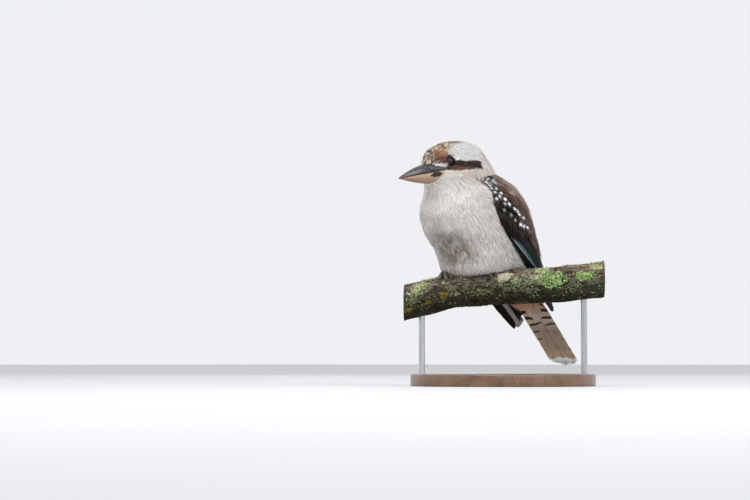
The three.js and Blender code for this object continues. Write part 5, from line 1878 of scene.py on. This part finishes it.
def build_perch():
    rows, columns = 500, 210
    s = np.linspace(PERCH[0][0], PERCH[-1][0], rows)[:, None]
    turn = np.linspace(-math.pi, math.pi, columns, endpoint=False)[None, :]
    s, turn = np.broadcast_arrays(s, turn)
    p = perch_point(s, turn)
    height, crack, fibres = bark_height(s, turn, p)
    cover = lichen_field(s, turn, p)
    feet = foot_share(s, turn)
    puff = 0.20 + 1.0 * noise3(p, 1.5, 81)
    crust = np.clip(sum(cover[kind] * share for kind, share in LICHEN_CRUST.items()), 0, 1)
    height = height + crust * puff * (1 - feet)
    height = np.where(feet > 0.3, np.minimum(height, 0.15), height)
    points, faces = capped_loft(perch_point(s, turn, height))
    # Weathered and pale above; darker and greener below, partly moss and partly painted shade.
    below = smooth(0.75, 1.7, np.abs(turn) + 0.9 * (layered(p, (12.0, 12, 7), 85) - 0.5))
    base = mix(BARK_BROWN, BARK_PALE, smooth(0.35, 0.65, layered(p, (9.0, 9, 4), 88)))
    base = mix(base, BARK_PINK, 0.6 * smooth(0.50, 0.72, noise3(p, 7.0, 89)))
    base = base * (0.45 + 1.0 * fibres)[..., None] * (0.75 + 0.5 * noise3(p, 1.6, 77))[..., None]
    base = paint(
        base,
        (BARK_MOSS_AND_SHADE, below * 0.80),
        # Painted shade on the underside and in the cracks.
        (BARK_BLACK, smooth(1.5, 2.3, np.abs(turn)) * 0.55),
        (BARK_BLACK, crack * 0.8),
    )
    tone = 0.40 + 1.2 * noise3(p, 1.2, 91)
    for kind, colour in LICHEN_COLOURS.items():
        # Painted shade: lichen on the underside is darkened.
        grown = np.array(colour) * tone[..., None] * (1 - 0.62 * below * (kind != "green"))[..., None]
        base = mix(base, grown, np.clip(cover[kind], 0, 1) * 0.95)
    tint = np.concatenate([base.reshape(-1, 3), [BARK_BROWN], [BARK_BROWN]])
    obj = make_object("perch_bark", points, faces, tint)
    material = tint_material("bark", 0.95, 700.0, 0.45, bump_strength=0.9, specular=0.1)
    return dress(obj, material, ("perch",))


# How many lichen leaves, and the corners of one.
FLAKES = 5200
LOBES = 6


def build_lichen_leaves():
    """Small curled leaves that stand on the green and mint patches."""
    s = rng.uniform(PERCH[0][0] + 3, PERCH[-1][0] - 3, FLAKES * 12)
    turn = rng.uniform(-2.4, 2.4, FLAKES * 12)
    p = perch_point(s, turn)
    cover = lichen_field(s, turn, p)
    leafy = np.clip(cover["green"] + 0.8 * cover["mint"] + 0.35 * cover["pale"], 0, 1)
    keep = (rng.random(len(s)) < leafy) & (foot_share(s, turn, 15) < 0.12)
    s, turn = s[keep][:FLAKES], turn[keep][:FLAKES]
    count = len(s)
    cover = lichen_field(s, turn, perch_point(s, turn))
    out = unit(np.cos(turn)[:, None] * np.array([0, 0, 1.0]) + np.sin(turn)[:, None] * TOWARD)
    tilt = unit(out + 0.9 * (rng.random((count, 3)) - 0.5))
    spin = unit(np.cross(tilt, rng.normal(size=(count, 3))))
    other = np.cross(tilt, spin)
    size = 0.30 + 0.75 * rng.random(count) ** 2
    centre = perch_point(s, turn, 0.45 + 0.7 * rng.random(count))
    q = np.linspace(0, TAU, LOBES, endpoint=False)
    reach = size[:, None] * (0.75 + 0.5 * rng.random((count, LOBES)))
    rim = centre[:, None] + reach[..., None] * (
        np.cos(q)[None, :, None] * spin[:, None] + np.sin(q)[None, :, None] * other[:, None])
    rim = rim + tilt[:, None] * (size[:, None] * rng.uniform(0.0, 0.55, (count, LOBES)))[..., None]
    top = centre + tilt * 0.16
    low = centre - tilt * 0.22
    points = np.concatenate([rim, top[:, None], low[:, None]], 1)
    j = np.arange(LOBES)
    after = (j + 1) % LOBES
    faces = np.concatenate([
        np.stack([j, after, np.full(LOBES, LOBES)], -1), np.stack([after, j, np.full(LOBES, LOBES + 1)], -1)])
    kinds = np.stack([cover["green"], 0.8 * cover["mint"], 0.35 * cover["pale"]], -1) + 1e-6
    pick = kinds.argmax(-1)
    colours = np.array([LICHEN_COLOURS["green"], LICHEN_COLOURS["mint"], LICHEN_COLOURS["pale"]])[pick]
    # Among the green leaves stand paler and much darker ones.
    odd = rng.random(count)
    colours = np.where((odd < 0.22)[:, None], 0.85 * np.array(LICHEN_COLOURS["pale"]), colours)
    colours = colours * np.where(odd > 0.78, 0.35, 1.0)[:, None]
    shadow = 1 - 0.55 * smooth(0.8, 1.8, np.abs(turn)) * (pick > 0)
    colours = colours * rng.uniform(0.5, 1.5, (count, 1)) * shadow[:, None]
    tint = np.repeat(colours[:, None], LOBES + 2, 1)
    tint[:, :LOBES] *= 1.12
    faces = [repeat_faces(faces, count, LOBES + 2)]
    obj = make_object("perch_lichen", points, faces, np.clip(tint, 0, 0.85), is_smooth=False)
    return dress(obj, tint_material("lichen", 0.95, 900.0, 0.25, specular=0.1))


def build_cut_ends():
    """Sawn faces at both ends of the branch with rings and a rim of bark."""
    for name, s, sense in (("low", PERCH[0][0], -1), ("high", PERCH[-1][0], 1)):
        rows, columns = 40, 160
        share = np.linspace(0.02, 0.93, rows)[:, None]
        turn = np.linspace(-math.pi, math.pi, columns, endpoint=False)[None, :]
        share, turn = np.broadcast_arrays(share, turn)
        z, r = perch_at(s)
        reach = share * (r + perch_ridge(s, turn) - 0.4)
        ring_no = share * r + 0.5 * np.sin(turn * 2 + 1)
        grain = noise3(np.stack([reach * np.cos(turn), reach * np.sin(turn), 0 * reach], -1), 1.4, 5)
        height = 0.45 - 0.25 * smooth(0.9, 0.93, share) + 0.06 * np.sin(ring_no * 3.3)
        p = s * ALONG + np.zeros(share.shape + (3,))
        p = p + (reach * np.sin(turn))[..., None] * TOWARD + (sense * height)[..., None] * ALONG
        p[..., 2] += z + reach * np.cos(turn)
        back = p[-1:] - sense * 0.9 * ALONG
        points, faces = capped_loft(np.concatenate([p, back]))
        wood = mix((0.42, 0.30, 0.19), (0.30, 0.20, 0.12), 0.5 + 0.5 * np.sin(ring_no * 3.3 + grain))
        wood = mix(wood, (0.16, 0.11, 0.07), smooth(0.82, 0.93, share))
        crack = np.exp(-((turn - 0.7 - 0.1 * share) / 0.02) ** 2) * smooth(0.2, 0.5, share)
        wood = mix(wood, (0.06, 0.04, 0.025), crack * 0.8)
        wood = np.concatenate([wood, wood[-1:]])
        tint = wood.reshape(-1, 3)
        tint = np.concatenate([tint, tint[:1], tint[-1:]])
        obj = make_object(f"perch_cut_{name}", points, faces, tint)
        dress(obj, tint_material(f"cut_wood_{name}", 0.8, 300.0, 0.25))


# Stand.


def wood_material():
    material, tree, shader = new_material("stand_wood", 0.42)
    rings = noise_node(tree, 9.0, 6.0, 0.6, (1.0, 14.0, 6.0))
    colour = ramp(tree, rings, [
        (0.30, (0.085, 0.040, 0.019)), (0.48, (0.145, 0.072, 0.034)),
        (0.60, (0.19, 0.098, 0.048)), (0.75, (0.115, 0.055, 0.026))])
    pores = noise_node(tree, 160.0, 3.0, 0.5, (0.25, 5.0, 3.0))
    colour = blend_colours(tree, colour, grey_ramp(tree, pores, (0.36, 0.72), (0.5, 1.0)), 0.8, "MULTIPLY")
    link_looks(tree, shader, colour, pores, (0.3, 0.5), (0.6, 0.36))
    set_sockets(shader, {"Coat Weight": 0.6, "Coat Roughness": 0.25})
    bump(tree, shader, pores, 0.10, 0.0003)
    return material


def steel_material():
    material, tree, shader = new_material("stand_steel", 0.3)
    set_sockets(shader, {"Metallic": 1.0})
    brushed = noise_node(tree, 300.0, 3.0, 0.5, (1.0, 1.0, 0.05))
    colour = ramp(tree, brushed, [(0.3, (0.42, 0.43, 0.44)), (0.7, (0.60, 0.61, 0.62))])
    link_looks(tree, shader, colour, brushed, (0.3, 0.24), (0.7, 0.38))
    bump(tree, shader, brushed, 0.05, 0.0002)
    return material


def build_base():
    """A turned disc with a softly rounded edge and a shallow groove."""
    profile = [(0.0, 0.0), (BASE_RADIUS - 2.2, 0.0)]
    for i in range(9):
        q = -math.pi / 2 + math.pi / 2 * i / 8
        profile.append((BASE_RADIUS - 2.2 + 2.2 * math.cos(q), 2.2 + 2.2 * math.sin(q)))
    edge = 3.0
    for i in range(11):
        q = math.pi / 2 * i / 10
        profile.append((BASE_RADIUS - edge + edge * math.cos(q), BASE_HEIGHT - edge + edge * math.sin(q)))
    for inset, dip in ((6, 0.0), (7, 0.7), (8, 0.7), (9, 0.0)):
        profile.append((BASE_RADIUS - inset, BASE_HEIGHT - dip))
    profile.append((0.0, BASE_HEIGHT))
    profile = np.array(profile[1:-1])
    columns = 192
    q = np.linspace(0, TAU, columns, endpoint=False)[None, :]
    x = profile[:, :1] * np.cos(q) + HOME[0]
    y = profile[:, :1] * np.sin(q) + HOME[1]
    z = np.broadcast_to(profile[:, 1:], x.shape)
    points, faces = capped_loft(np.stack([x, y, z], -1))
    obj = make_object("stand_base_turned", points, faces, is_smooth=True)
    dress(obj, wood_material(), ("stand_base",))


# Room and light.


def build_room():
    bpy.ops.mesh.primitive_plane_add(size=60, location=(0, 0, 0))
    floor = bpy.context.object
    floor.name = "studio_floor"
    material, tree, shader = new_material("studio_floor", 0.75)
    mottle = noise_node(tree, 1.2, 2.0)
    link_looks(tree, shader, ramp(tree, mottle, [(0.3, (0.64, 0.64, 0.65)), (0.7, (0.67, 0.67, 0.675))]))
    floor.data.materials.append(material)
    bpy.context.scene.view_settings.view_transform = "Standard"
    world = bpy.data.worlds.new("studio")
    bpy.context.scene.world = world
    world.use_nodes = True
    background = world.node_tree.nodes["Background"]
    background.inputs["Color"].default_value = (0.93, 0.945, 0.97, 1.0)
    background.inputs["Strength"].default_value = 0.92
    target = Vector((0.0, 0.0, 0.2))
    for name, place, size, power in (
        ("key_sky", (0.3, -1.3, 2.2), 1.5, 22.0),
        ("fill_side", (2.2, -0.5, 1.3), 1.6, 23.0),
        ("rim_back", (-1.5, 1.6, 1.4), 1.6, 6.0),
        ("glint", (1.0, -2.4, 1.5), 0.16, 2.4),
    ):
        light = bpy.data.lights.new(name, "AREA")
        light.shape = "DISK"
        light.size = size
        light.energy = power
        obj = bpy.data.objects.new(name, light)
        obj.location = place
        obj.rotation_euler = (target - Vector(place)).to_track_quat("-Z", "Y").to_euler()
        bpy.context.scene.collection.objects.link(obj)


def build_camera():
    back = Vector((
        math.sin(VIEW_AZIMUTH) * math.cos(VIEW_ELEVATION),
        -math.cos(VIEW_AZIMUTH) * math.cos(VIEW_ELEVATION),
        math.sin(VIEW_ELEVATION),
    ))
    right = Vector((math.cos(VIEW_AZIMUTH), math.sin(VIEW_AZIMUTH), 0))
    up = back.cross(right)
    data = bpy.data.cameras.new("photo_camera")
    data.sensor_fit = "HORIZONTAL"
    data.sensor_width = SENSOR_WIDTH
    data.lens = FOCAL_PIXELS / FRAME_PIXELS * SENSOR_WIDTH
    data.clip_end = 100
    camera = bpy.data.objects.new("photo_camera", data)
    turn = Matrix((right, up, back)).transposed().to_4x4()
    camera.matrix_world = Matrix.Translation(Vector(CAMERA_PLACE)) @ turn
    bpy.context.scene.collection.objects.link(camera)
    bpy.context.scene.camera = camera


build_camera()
build_room()
build_skin()
for half_bill in (True, False):
    build_bill(half_bill)
glass = eye_material()
lid_skin = tint_material("lid_skin", 0.6, 1500.0, 0.3)
for eye_side in SIDES:
    build_eye(eye_side, glass)
    build_lids(eye_side, lid_skin)

build_coat()
build_wing(True)
build_wing(False)
build_tail()
foot_skin = tint_material("foot_skin", 0.62, 900.0, 0.3, bump_strength=0.4)
claw_horn = tint_material("claw_horn", 0.35, 500.0, 0.2, bump_strength=0.1)
for foot_place, foot_name in zip(FOOT_PLACES, ("left", "right")):
    build_leg(foot_place, foot_name, claw_horn, foot_skin)
build_perch()
build_lichen_leaves()
build_cut_ends()
build_base()
steel = steel_material()
for rod_name in ("stand_rod_left", "stand_rod_right"):
    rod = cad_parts[rod_name]
    rod.data.materials.clear()
    rod.data.materials.append(steel)

bpy.context.view_layer.update()
